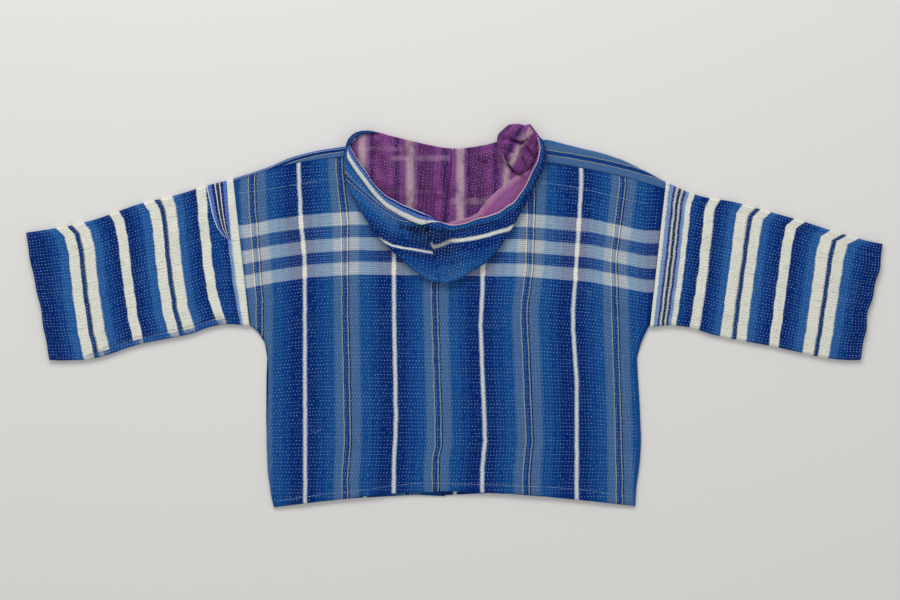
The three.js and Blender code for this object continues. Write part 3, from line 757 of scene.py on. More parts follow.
@dataclass(frozen=True)
class Cotton:
    """A finish of quilted cotton: everything but the colours of its stripes."""

    name: str
    wear: float = 0.09
    thread_pitch: float = 0.5
    rough: float = 0.93
    sheen: float = 0.03
    jitter: float = 1.0
    crimp: float = 0.25

    def begin(self) -> tuple[bpy.types.Material, Wires, bpy.types.NodeSocket]:
        """Starts the material.

        Returns:
            The material, its wires, and the place on the cloth in millimetres, with the
            small wander of a handloom in it.
        """
        material = bpy.data.materials.new(self.name)
        material.use_nodes = True
        material.node_tree.nodes.clear()
        wires = Wires(material.node_tree)
        place = wires.add("ShaderNodeUVMap", uv_map="cloth").outputs[0]
        place = wires.vector("MULTIPLY", place, (1 / MM, 1 / MM, 0.0))
        slow = wires.noise(wires.vector("MULTIPLY", place, (0.02, 0.05, 1.0)), 1.0, 3.0)
        quick = wires.noise(wires.vector("MULTIPLY", place, (0.2, 0.55, 1.0)), 1.0, 2.0)
        away = wires.sum("MULTIPLY_ADD", slow, 2.4 * self.jitter,
                         wires.sum("MULTIPLY_ADD", quick, 1.5 * self.jitter, -1.95 * self.jitter))
        return material, wires, wires.vector("ADD", place, wires.joined(away, 0.0, 0.0))

    def end(self, wires: Wires, place: bpy.types.NodeSocket,
            tint: bpy.types.NodeSocket) -> None:
        """Adds wear, weave and pucker with its painted shade, and the surface itself.

        Args:
            wires: the wires of the material.
            place: the place on the cloth.
            tint: the colour of the woven stripes there.
        """
        worn = wires.add("ShaderNodeGroup", node_tree=bpy.data.node_groups["Washed and worn"])
        wires.plug(worn.inputs["Cloth"], place)
        wires.plug(worn.inputs["Colour"], tint)
        wires.plug(worn.inputs["Wear"], self.wear)
        weave = wires.add("ShaderNodeGroup", node_tree=bpy.data.node_groups["Quilted cotton"])
        wires.plug(weave.inputs["Cloth"], place)
        wires.plug(weave.inputs["Thread Pitch"], self.thread_pitch)
        wires.plug(weave.inputs["Crimp"], self.crimp)
        # the weave's Shade carries the cloth's uneven tone and the painted shade of its puckers
        shade = wires.joined(*[weave.outputs["Shade"]] * 3)
        colour = wires.blend(1.0, worn.outputs["Colour"], shade, "MULTIPLY")
        surface = wires.add("ShaderNodeBsdfPrincipled")
        wires.plug(surface.inputs["Base Color"], colour)
        surface.inputs["Roughness"].default_value = self.rough
        surface.inputs["Specular IOR Level"].default_value = 0.08
        surface.inputs["Sheen Weight"].default_value = self.sheen
        surface.inputs["Sheen Roughness"].default_value = 0.5
        bump = wires.add("ShaderNodeBump")
        bump.inputs["Strength"].default_value = 1.0
        bump.inputs["Distance"].default_value = MM
        wires.plug(bump.inputs["Height"], weave.outputs["Height"])
        wires.plug(surface.inputs["Normal"], bump.outputs["Normal"])
        output = wires.add("ShaderNodeOutputMaterial")
        wires.plug(output.inputs["Surface"], surface.outputs["BSDF"])


def striped(finish: Cotton, chart: Chart, wedge: Chart | None = None) -> bpy.types.Material:
    """Makes a cotton with one chart of stripes along it.

    Args:
        finish: everything but its colours.
        chart: its stripes.
        wedge: the stripes of a border that is turned in at one corner, if there is one.

    Returns:
        The material.
    """
    material, wires, place = finish.begin()
    u, _, _ = wires.split(place)
    tint = wires.stripes(u, chart)
    if wedge:
        share = wires.add("ShaderNodeAttribute", attribute_name="wedge").outputs["Fac"]
        inside = wires.sum("MULTIPLY", wires.between(share, -0.01, 0.01),
                           wires.between(share, 0.99, 1.01, 1.0, 0.0))
        at = wires.sum("MULTIPLY", share, wedge.end)
        tint = wires.blend(inside, tint, wires.stripes(at, wedge))
    lip = wires.add("ShaderNodeAttribute", attribute_name="lip").outputs["Fac"]
    patch = wires.noise(wires.vector("MULTIPLY", place, (0.05, 0.02, 1.0)), 1.0, 1.0)
    covered = wires.sum("MULTIPLY", lip, wires.between(patch, 0.36, 0.44, 0.55, 0.94))
    tint = wires.blend(covered, tint, paint(30, 80, 148))
    finish.end(wires, place, tint)
    return material


# ---------------------------------------------------------------- back


@dataclass
class Back:
    """The back panel, with the creases it lies in and its three pale cross bands."""

    sides: dict[str, list[float]] = field(default_factory=lambda: columns("y left right", [
        (-286.5, -271.5, 270.0), (-255.0, -277.5, 272.0), (-207.0, -281.5, 277.5),
        (-156.0, -281.5, 277.5), (-99.0, -280.0, 274.5), (-62.0, -281.0, 273.0),
        (-40.0, -285.0, 279.0), (-24.0, -295.0, 286.0), (-13.5, -307.5, 291.8),
    ]))
    hem: dict[str, list[float]] = field(default_factory=lambda: columns("x y", [
        (-271.5, -286.5), (-170.0, -274.5), (-60.0, -264.5), (60.0, -265.5),
        (170.0, -274.0), (270.0, -285.0),
    ]))
    top: dict[str, list[float]] = field(default_factory=lambda: columns("x y", [
        (-331.5, 201.3), (-280.5, 218.3), (-234.0, 229.5), (-166.5, 238.5), (-90.0, 234.0),
        (-4.5, 229.5), (80.0, 229.5), (139.5, 229.5), (186.0, 222.0), (237.0, 211.5),
        (276.0, 201.6), (314.4, 190.5),
    ]))
    creases: list[Crease] = field(default_factory=lambda: [
        Crease(-262, -40, -205, -105, 14, 1.6), Crease(-255, -10, -180, 20, 13, 1.4),
        Crease(-240, -250, -226, -60, 22, 1.2), Crease(-128, -262, -140, -20, 26, 1.3),
        Crease(12, -255, 4, -60, 24, 1.2), Crease(110, -250, 122, 40, 26, 1.3),
        Crease(215, -240, 232, -30, 20, 1.6), Crease(262, -30, 196, -88, 14, 1.7),
        Crease(250, 20, 180, 52, 14, 1.3), Crease(-210, 60, -150, 120, 20, 1.1),
    ])
    across_steps: int = 150
    up_steps: int = 384

    def side_of(self, side: Side, y: Grid) -> Grid:
        """Gives where one side of the panel runs at some heights up it."""
        column = self.sides[side.value]
        end = 0 if side is Side.LEFT else -1
        end_x, end_y = self.top["x"][end], self.top["y"][end]
        low_x, low_y = column[-1], self.sides["y"][-1]
        armhole = mix(low_x, end_x, (y - low_y) / (end_y - low_y))
        return np.where(y > low_y, armhole, follow(self.sides["y"], column, y))

    def plan(self, across: Grid, up: Grid) -> dict[str, Grid]:
        """Places points on the smooth patch between the four edges.

        Args:
            across: from 0 at the left side to 1 at the right.
            up: from 0 at the hem to 1 at the shoulders.

        Returns:
            Their x and y, both sides' x at their height, and the top's y over them.
        """
        hem, top = self.hem, self.top
        hem_x = mix(hem["x"][0], hem["x"][-1], across)
        top_x = mix(top["x"][0], top["x"][-1], across)
        hem_y, top_y = follow(hem["x"], hem["y"], hem_x), follow(top["x"], top["y"], top_x)
        left_y = mix(hem["y"][0], top["y"][0], up)
        right_y = mix(hem["y"][-1], top["y"][-1], up)
        left_x, right_x = self.side_of(Side.LEFT, left_y), self.side_of(Side.RIGHT, right_y)
        even_y = mix(mix(hem["y"][0], hem["y"][-1], across),
                     mix(top["y"][0], top["y"][-1], across), up)
        corner_left = mix(hem["x"][0], top["x"][0], up)
        corner_right = mix(hem["x"][-1], top["x"][-1], up)
        return {
            "x": mix(hem_x, top_x, up) + mix(left_x - corner_left, right_x - corner_right, across),
            "y": mix(hem_y, top_y, up) + mix(left_y, right_y, across) - even_y,
            "left": left_x, "right": right_x, "top": top_y, "hem": hem_y,
        }

    def under(self, place: dict[str, Grid]) -> Grid:
        """Gives the height of the inner face over points of the plan."""
        x, y = place["x"], place["y"]
        near_side = 1 - smooth(np.minimum(x - place["left"], place["right"] - x) / EDGE_SPREAD)
        at_arm = smooth((y - self.sides["y"][-1]) / EDGE_SPREAD)
        near_top = 1 - smooth((place["top"] - y) / EDGE_SPREAD)
        at_shoulder = smooth(np.maximum(-166.5 - x, x - 139.5) / EDGE_SPREAD)
        folds = crease_height(self.creases, x, y) * (1 - near_side) * (1 - near_top)
        lift = mix(BACK_REST + folds, at_arm * ARM_LIFT, near_side)
        return WALL + SEAM_GAP + mix(lift, ARM_LIFT, near_top * at_shoulder)

    def grid(self, across_steps: int, up_steps: int) -> tuple[Grid, Grid, dict[str, Grid]]:
        """Gives the two shares and the places of a grid over the panel."""
        across, up = np.meshgrid(np.linspace(0, 1, across_steps + 1),
                                 np.linspace(0, 1, up_steps + 1), indexing="ij")
        return across, up, self.plan(across, up)

    def cloth(self, place: dict[str, Grid]) -> Grid:
        """Gives the place on the cloth of points of the plan: across, and up, in mm."""
        x, y = place["x"], place["y"]
        px, py = x / CHART_STEP + CHART_MIDDLE, CHART_ORIGIN - y / CHART_STEP
        lines = [np.interp(py, rows, cols) for rows, cols in WARP_LINES.values()]
        lines = np.stack(lines)
        steps = np.array(list(WARP_LINES))
        u = np.empty_like(x)
        flat = lines.reshape(len(steps), -1)
        for i, at in enumerate(px.ravel()):
            column = flat[:, i]
            if at < column[0]:
                u.flat[i] = steps[0] + (at - column[0]) * CHART_STEP
            elif at > column[-1]:
                u.flat[i] = steps[-1] + (at - column[-1]) * CHART_STEP
            else:
                u.flat[i] = np.interp(at, column, steps)
        bands = np.stack([np.interp(px, *band) for band in BAND_LINES])
        shift = np.array([np.mean(line[1]) for line in BAND_LINES])[:, None, None] - bands
        near = [np.exp(-((py - bands[k]) / 60.0) ** 2) + 1e-6 for k in range(3)]
        warp = sum(n * s for n, s in zip(near, shift)) / sum(near)
        fade = np.clip(1 - np.maximum(0, np.abs(py - bands[1]) - 60) / 150, 0, 1)
        v = height_of(py + warp * fade)
        return np.stack([u, v], axis=-1)

    def outer(self) -> tuple[Grid, Grid]:
        """Gives the outer face's points and their places on the cloth."""
        _, _, place = self.grid(self.across_steps, self.up_steps)
        cloth = self.cloth(place)
        x, y = place["x"], place["y"]
        puff = 0.5 - 0.5 * np.cos(2 * math.pi * cloth[..., 1] / ROW_PITCH)
        edge = np.minimum(np.minimum(x - place["left"], place["right"] - x),
                          np.minimum(place["top"] - y, y - place["hem"]))
        soft = smooth(edge / 4.0)
        loose = 0.6 + 0.4 * np.sin(x / 17.0 + 2 * np.sin(y / 23.0)) * np.sin(y / 31.0 + x / 41.0)
        z = self.under(place) + WALL - 0.6 + (0.1 + 0.5 * soft) + 0.22 * puff * loose * soft
        return np.stack([x, y, z], axis=-1), cloth

    def rows_of_stitch(self) -> list[tuple[Grid, Grid, Grid]]:
        """Gives the rows of stitch, which run across the panel along its weft."""
        points, cloth = self.outer()
        normal = normals_of(points)
        rng = np.random.default_rng(11)
        rows = []
        across = np.arange(len(points))
        for k in range(-58, 50):
            wobble = sum(rng.uniform(0.1, 0.35) * np.sin(across / rng.uniform(6, 22)
                                                         + rng.uniform(0, 6.3)) for _ in range(3))
            line, out, light = [], [], []
            first = rng.integers(1, 3)
            for i in across[first:-2]:
                v = cloth[i, :, 1]
                wanted = k * ROW_PITCH + wobble[i]
                if v[2] + 1.5 < wanted < v[-3] - 1.5:
                    line.append([np.interp(wanted, v, points[i, :, axis]) for axis in range(3)])
                    out.append([np.interp(wanted, v, normal[i, :, axis]) for axis in range(3)])
                    light.append(BACK_CHART.light(np.interp(wanted, v, cloth[i, :, 0])))
                    if i < len(points) - 3:
                        continue
                if len(line) > 3:
                    rows.append((np.array(line), np.array(out), np.array(light)))
                line, out, light = [], [], []
        return rows

    def on_top(self, line: list[tuple[float, float]]) -> tuple[Grid, Grid, Grid]:
        """Lays a line of the chart on the panel's outer face, for a topstitch."""
        knots = plan_of(line)
        run = np.concatenate([[0], np.cumsum(np.hypot(*np.diff(knots, axis=0).T))])
        at = np.arange(0, run[-1], 3.0)
        x, y = np.interp(at, run, knots[:, 0]), np.interp(at, run, knots[:, 1])
        place = {"x": x, "y": y, "left": self.side_of(Side.LEFT, y),
                 "right": self.side_of(Side.RIGHT, y),
                 "top": follow(self.top["x"], self.top["y"], x)}
        points = np.stack([x, y, self.under(place) + WALL + 0.12], axis=1)
        return points, np.tile((0.0, 0.0, 1.0), (len(at), 1)), np.full(len(at), 0.45)

    def make(self, finish: bpy.types.Material) -> bpy.types.Object:
        """Makes the panel."""
        outer, cloth = self.outer()
        _, _, place = self.grid(24, 48)
        inner = np.stack([place["x"], place["y"], self.under(place)], axis=-1)
        shell = Shell()
        shell.panel(outer, inner, cloth)
        return shell.build("back_panel", [finish])


# Where the stripes run on the laid panel, by their place on the cloth. Each has a point only
# where it bends: how far down the chart, and how far across.
WARP_LINES = {
    -67.5: ([200, 260, 300, 480], [255, 259.5, 262.5, 260.5]),
    0.0: ([170, 220, 260, 480], [299, 301, 305, 305.5]),
    67.5: ([170, 220, 300, 440, 480], [342, 347.5, 347.5, 350.5, 347.5]),
    135.0: ([290, 420, 470], [394, 396, 394]),
    202.5: ([300, 420, 445, 460], [437, 441, 441, 438]),
    270.0: ([290, 325, 440, 470], [482.5, 480.5, 485, 482]),
    337.5: ([205, 270, 310, 440, 470], [534, 532, 526.5, 532, 529]),
    405.0: ([185, 260, 310, 330, 380], [581, 576.5, 573, 573, 576.5]),
    472.5: ([185, 260, 480], [625, 615.5, 622]),
}
BAND_X = [245, 275, 310, 355, 525, 590, 645]
BAND_LINES = (
    (BAND_X, [231.5, 225, 221, 218, 220, 226, 239]),
    (BAND_X, [257, 252, 247, 244, 246, 251, 262]),
    (BAND_X, [283, 277, 271, 268, 270.5, 275.5, 284.5]),
)


def back_cotton(finish: Cotton) -> bpy.types.Material:
    """Makes the back's cotton: the repeating stripes, and three pale bands across them."""
    material, wires, place = finish.begin()
    u, v, _ = wires.split(place)
    ground = wires.stripes(u, BACK_CHART)
    pale = wires.stripes(u, BACK_CHART.paler((136, 114, 82), 0.78))
    height = [np.mean(line[1]) for line in BAND_LINES]
    mask = 0.0
    wobble = wires.noise(wires.vector("MULTIPLY", place, (0.05, 0.3, 1.0)), 1.0, 2.0)
    for middle in height:
        away = wires.sum("ABSOLUTE", wires.sum("SUBTRACT", v, height_of(float(middle))))
        away = wires.sum("MULTIPLY_ADD", wobble, 2.0, away)
        mask = wires.sum("ADD", mask, wires.between(away, 9.8, 11.6, 1.0, 0.0))
    rows = wires.sum("COSINE", wires.sum("MULTIPLY", v, 2 * math.pi / 3.0))
    lined = wires.between(rows, 0.0, 0.95, 1.0, 0.62)
    middle = height_of(float(height[1]))
    zone = wires.sum("ABSOLUTE", wires.sum("SUBTRACT", v, middle))
    between = wires.sum("MULTIPLY", wires.between(zone, 34.0, 38.0, 1.0, 0.0),
                        wires.between(rows, -0.9, -0.3, 0.16, 0.0))
    mask = wires.sum("MAXIMUM", wires.sum("MULTIPLY", mask, lined), between)
    finish.end(wires, place, wires.blend(mask, ground, pale))
    return material


# ---------------------------------------------------------------- fronts


@dataclass
class Front:
    """One front, flat underneath, whose shoulder rolls over and shows as a strip on top."""

    side: Side
    shoulder: list[tuple[float, float, float, float]]
    neck: list[tuple[float, float]]
    hem: list[tuple[float, float]]
    from_seam: bool = False
    tail: float = 22.0
    fine: int = 60

    def section(self, x: float, fold: float, strip: float, lean: float) -> Grid:
        """Gives the outline of the roll at one place along the shoulder."""
        half = FOLD_HEIGHT / 2
        inside = half - WALL
        turn = [math.pi * i / 12 - math.pi / 2 for i in range(13)]
        arc = [(fold - half + half * math.cos(a), half + half * math.sin(a)) for a in turn]
        back = [(fold - half + inside * math.cos(a), half + inside * math.sin(a))
                for a in reversed(turn)]
        upper = [(mix(fold - half, fold - strip, i / 8), FOLD_HEIGHT) for i in range(1, 9)]
        ring = [(fold - self.tail, 0.0), *arc, *upper, (fold - strip, FOLD_HEIGHT - WALL), *back,
                (fold - self.tail, WALL)]
        return np.array([(x + (fold - y) * lean, y, z) for y, z in ring])

    def make(self, back: Back, finish: bpy.types.Material,
             shoulder: bpy.types.Material) -> bpy.types.Object:
        """Makes the front: its flat cloth and the roll over the shoulder.

        Args:
            back: the back panel, whose sides it follows.
            finish: its cotton.
            shoulder: the cotton of the roll, whose stripes run along the shoulder.

        Returns:
            The object.
        """
        shell = Shell()
        rows = [(y, x) for y, x in zip(back.sides["y"], back.sides[self.side.value])
                if y > self.hem[0][1]]
        edge = []
        for y, x in rows:
            peek = 3.5 * math.exp(-((y + 118) / 40) ** 2) if self.side is Side.LEFT else 0.0
            edge.append((x - peek, y))
        outline = [(x + lean * FOLD_HEIGHT / 2, fold - FOLD_HEIGHT / 2 - 6)
                   for x, fold, _, lean in self.shoulder]
        outline += [*self.neck, *reversed(self.hem), *edge]
        shell.slab(outline, 0.0, WALL, np.array([(x, y) for x, y in outline]))
        order = sorted(self.shoulder)
        xs = [row[0] for row in order]
        into_hood = 6.5
        ends = ((xs[0], xs[-1] + into_hood) if self.side is Side.LEFT
                else (xs[0] - into_hood, xs[-1]))
        at = np.linspace(*ends, self.fine + 1)
        parts = [follow(xs, [row[i] for row in order], at) for i in (1, 2)]
        lean = np.interp(at, xs, [row[3] for row in order])
        rings = np.stack([self.section(x, fold, strip, slope)
                          for x, fold, strip, slope in zip(at, *parts, lean)])
        edge = (parts[0] - parts[1] if self.from_seam else parts[0])[:, None]
        down = (rings[..., 1] - edge) * (1 if self.from_seam else -1)
        places = np.stack([down, np.broadcast_to(at[:, None], down.shape)], axis=-1)
        places = np.concatenate([places, places[:, :1]], axis=1)
        ids = shell.vertices(rings)
        closed = np.concatenate([ids, ids[:, :1]], axis=1)
        shell.cover(closed, places, True, 1)
        for ring, flip in ((ids[0], True), (ids[-1], False)):
            half = len(ring) // 2
            upper, lower = ring[:half], ring[half:][::-1]
            for i in range(half - 1):
                quad = [int(upper[i]), int(upper[i + 1]), int(lower[i + 1]), int(lower[i])]
                shell.faces.append(tuple(reversed(quad) if flip else quad))
                shell.corners.append(np.zeros((4, 2)))
                shell.finishes.append(1)
        return shell.build(f"front_{self.side.value}_cloth", [finish, shoulder])


# ---------------------------------------------------------------- sleeves


@dataclass
class Sleeve:
    """A wide straight sleeve, folded flat, with its rows of stitch along it."""

    side: Side
    chart: Chart
    rows: dict[str, list[float]]
    creases: list[Crease]
    bow_at: list[float]
    bow_high: list[float]
    bow_low: list[float]
    bow_head: list[float]
    bow_foot: list[float]
    cuff_wave: float = 1.3
    stitch_rows: int = 40
    spans: int = 110
    arc_steps: int = 8

    def ring(self, reach: float, per_row: int, inset: float, under_steps: int) -> dict[str, Grid]:
        """Gives one ring of the sleeve.

        Args:
            reach: from 0 at the armhole to 1 at the cuff.
            per_row: steps for each row of stitch on the upper side.
            inset: how far in from the outer face it runs.
            under_steps: steps of the flat underside.

        Returns:
            Its points, and for each its share up the width and its distance round.
        """
        at = {name: float(follow(self.rows["reach"], self.rows[name], reach))
              for name in ("topX", "topY", "lowX", "lowY")}
        low, top = np.array([at["lowX"], at["lowY"]]), np.array([at["topX"], at["topY"]])
        width = float(np.linalg.norm(top - low))
        half, radius = FOLD_HEIGHT / 2, FOLD_HEIGHT / 2 - inset
        arc = np.linspace(0, math.pi, self.arc_steps + 1)
        low_turn = np.stack([half - radius * np.sin(arc), half - radius * np.cos(arc)], axis=1)
        top_turn = np.stack([width - half + radius * np.sin(arc), half + radius * np.cos(arc)],
                            axis=1)
        count = per_row * self.stitch_rows
        distance = mix(half, width - half, np.arange(1, count) / count)
        plan = low + (top - low) * (distance / width)[:, None]
        edge = smooth(np.minimum(distance, width - distance) / (EDGE_SPREAD / 2))
        row = np.arange(1, count) / per_row
        loose = 0.6 + 0.4 * np.sin(plan[:, 0] / 13.0 + plan[:, 1] / 19.0)
        puff = 0.0 if inset else 0.26 * loose * (0.5 - 0.5 * np.cos(2 * math.pi * row))
        lip = mix(0.0, 6.5, smooth((reach - 0.06) / 0.12) * (1 - smooth((reach - 0.7) / 0.15)))
        lip_share = lip / 6.5 if self.side is Side.LEFT else 0.0
        if self.side is Side.LEFT and not inset and lip > 1:
            puff = puff - 1.3 * np.exp(-((distance - half - lip) / 1.3) ** 2) \
                - 0.7 * (1 - smooth((distance - half - lip) / 0.8))
        lift = crease_height(self.creases, plan[:, 0], plan[:, 1]) * edge
        upper = np.stack([distance, half + radius + puff + lift - (0 if inset else 0.3)], axis=1)
        back = np.linspace(width - half, half, under_steps + 1)[1:-1]
        under = np.stack([back, np.full(len(back), half - radius)], axis=1)
        section = np.concatenate([low_turn, upper, top_turn, under])
        run = np.linalg.norm(np.diff(section, axis=0, append=section[:1]), axis=1)
        round_at = np.concatenate([[0.0], np.cumsum(run)])
        place = low + (top - low) * (section[:, :1] / width)
        wave = self.cuff_wave * np.sin(section[:, 0] / width * 17.0 + 0.9) * np.sin(
            section[:, 0] / width * 7.0 + 2.0)
        place[:, 0] += self.side.sign * (wave - self.cuff_wave) * smooth((reach - 0.86) / 0.14)
        return {
            "points": np.concatenate([place, section[:, 1:]], axis=1),
            "share": section[:, 0] / width, "round": round_at,
            "middle": abs(at["topX"] + at["lowX"]) / 2,
            "lip": np.where(np.arange(len(section)) < self.arc_steps + 4, lip_share, 0.0),
        }

    def rings(self, spans: int, per_row: int, inset: float, under_steps: int) -> list[dict]:
        """Gives rings from the armhole to the cuff."""
        return [self.ring(i / spans, per_row, inset, under_steps) for i in range(spans + 1)]

    def cloth(self, rings: list[dict]) -> Grid:
        """Gives the place on the cloth of each point of the rings, in millimetres."""
        lines = []
        for ring in rings:
            share = np.append(ring["share"], ring["share"][0])
            high = np.interp(ring["middle"], self.bow_at, self.bow_high)
            low = np.interp(ring["middle"], self.bow_at, self.bow_low)
            head = np.interp(ring["middle"], self.bow_at, self.bow_head)
            foot = np.interp(ring["middle"], self.bow_at, self.bow_foot)
            bow = np.interp(share, [0, 0.2, 0.45, 0.65, 0.8, 0.93, 1],
                            [foot, 0.6 * low, low, (low + high) / 2, high, 0.6 * high, head])
            length = ring["round"] / ring["round"][-1] * 430.0
            lines.append(np.stack([ring["middle"] + bow, length], axis=1))
        return np.stack(lines)

    def make(self, finish: bpy.types.Material) -> bpy.types.Object:
        """Makes the sleeve."""
        outer = self.rings(self.spans, 4, 0.0, 30)
        inner = self.rings(18, 1, WALL, 10)
        left = self.side is Side.LEFT
        cloth = self.cloth(outer)
        points = np.stack([ring["points"] for ring in outer])
        shell = Shell()
        shell.tube(points, np.stack([ring["points"] for ring in inner]), cloth, left,
                   wedge=self.wedge(points), lip=np.stack([ring["lip"] for ring in outer]))
        return shell.build(f"sleeve_{self.side.value}_cloth", [finish])

    def wedge(self, points: Grid) -> Grid:
        """Gives the share across the turned-in border, outside 0 to 1 where it isn't."""
        x, y, z = (points[..., axis] for axis in range(3))
        if self.side is Side.RIGHT:
            return np.full(x.shape, -1.0)
        left = plan_of([(206.0, 183), (206.8, 187), (209.9, 200.6), (213.3, 216), (217.5, 228),
                        (223.7, 236), (228.6, 240)])[::-1]
        right = plan_of([(227.3, 182), (229.0, 210), (231.0, 235), (231.6, 241)])[::-1]
        from_x = np.interp(y, left[:, 1], left[:, 0])
        to_x = np.interp(y, right[:, 1], right[:, 0])
        share = (x - from_x) / np.maximum(to_x - from_x, 1.5)
        inside = (y > left[0, 1] - 1.0) & (z > FOLD_HEIGHT / 2)
        return np.where(inside, np.clip(share, -1.5, 2.0), -1.0)

    def rows_of_stitch(self) -> list[tuple[Grid, Grid, Grid]]:
        """Gives the rows of stitch on the upper side, from the armhole to the cuff."""
        outer = self.rings(self.spans, 4, 0.0, 30)
        cloth = self.cloth(outer)
        points = np.stack([ring["points"] for ring in outer])
        normal = normals_of(points) * (-self.side.sign)
        normal *= np.sign(normal[..., 2:3] + 1e-9)
        rng = np.random.default_rng(5 + self.side.sign)
        rows = []
        along = np.arange(len(points))
        for k in range(self.stitch_rows + 1):
            wobble = sum(rng.uniform(0.1, 0.4) * np.sin(along / rng.uniform(6, 20)
                                                        + rng.uniform(0, 6.3)) for _ in range(3))
            at = np.clip(self.arc_steps + k * 4 + wobble, self.arc_steps - 3, None)
            low = at.astype(int)
            part = (at - low)[:, None]
            first = rng.integers(1, 3)
            line = mix(points[along, low], points[along, low + 1], part)
            out = mix(normal[along, low], normal[along, low + 1], part)
            light = self.chart.light(cloth[along, low, 0])
            rows.append((line[first:-1], out[first:-1], light[first:-1]))
        return rows


# ---------------------------------------------------------------- hood


def aside(line: Grid, x: Grid, y: Grid) -> Grid:
    """Gives how far points lie from a line of points, positive on its right.

    Args:
        line: the points of the line, in the order it runs.
        x: the points' x.
        y: the points' y.

    Returns:
        The distances, in millimetres.
    """
    best = np.full(np.shape(x), 1e9)
    signed = np.zeros(np.shape(x))
    for (ax, ay), (bx, by) in zip(line, line[1:]):
        run_x, run_y = bx - ax, by - ay
        length = math.hypot(run_x, run_y)
        along = np.clip(((x - ax) * run_x + (y - ay) * run_y) / length ** 2, 0, 1)
        away = np.hypot(x - ax - along * run_x, y - ay - along * run_y)
        right = np.sign((x - ax) * run_y - (y - ay) * run_x)
        closer = away < best
        signed = np.where(closer, away * np.where(right == 0, 1, right), signed)
        best = np.where(closer, away, best)
    return signed


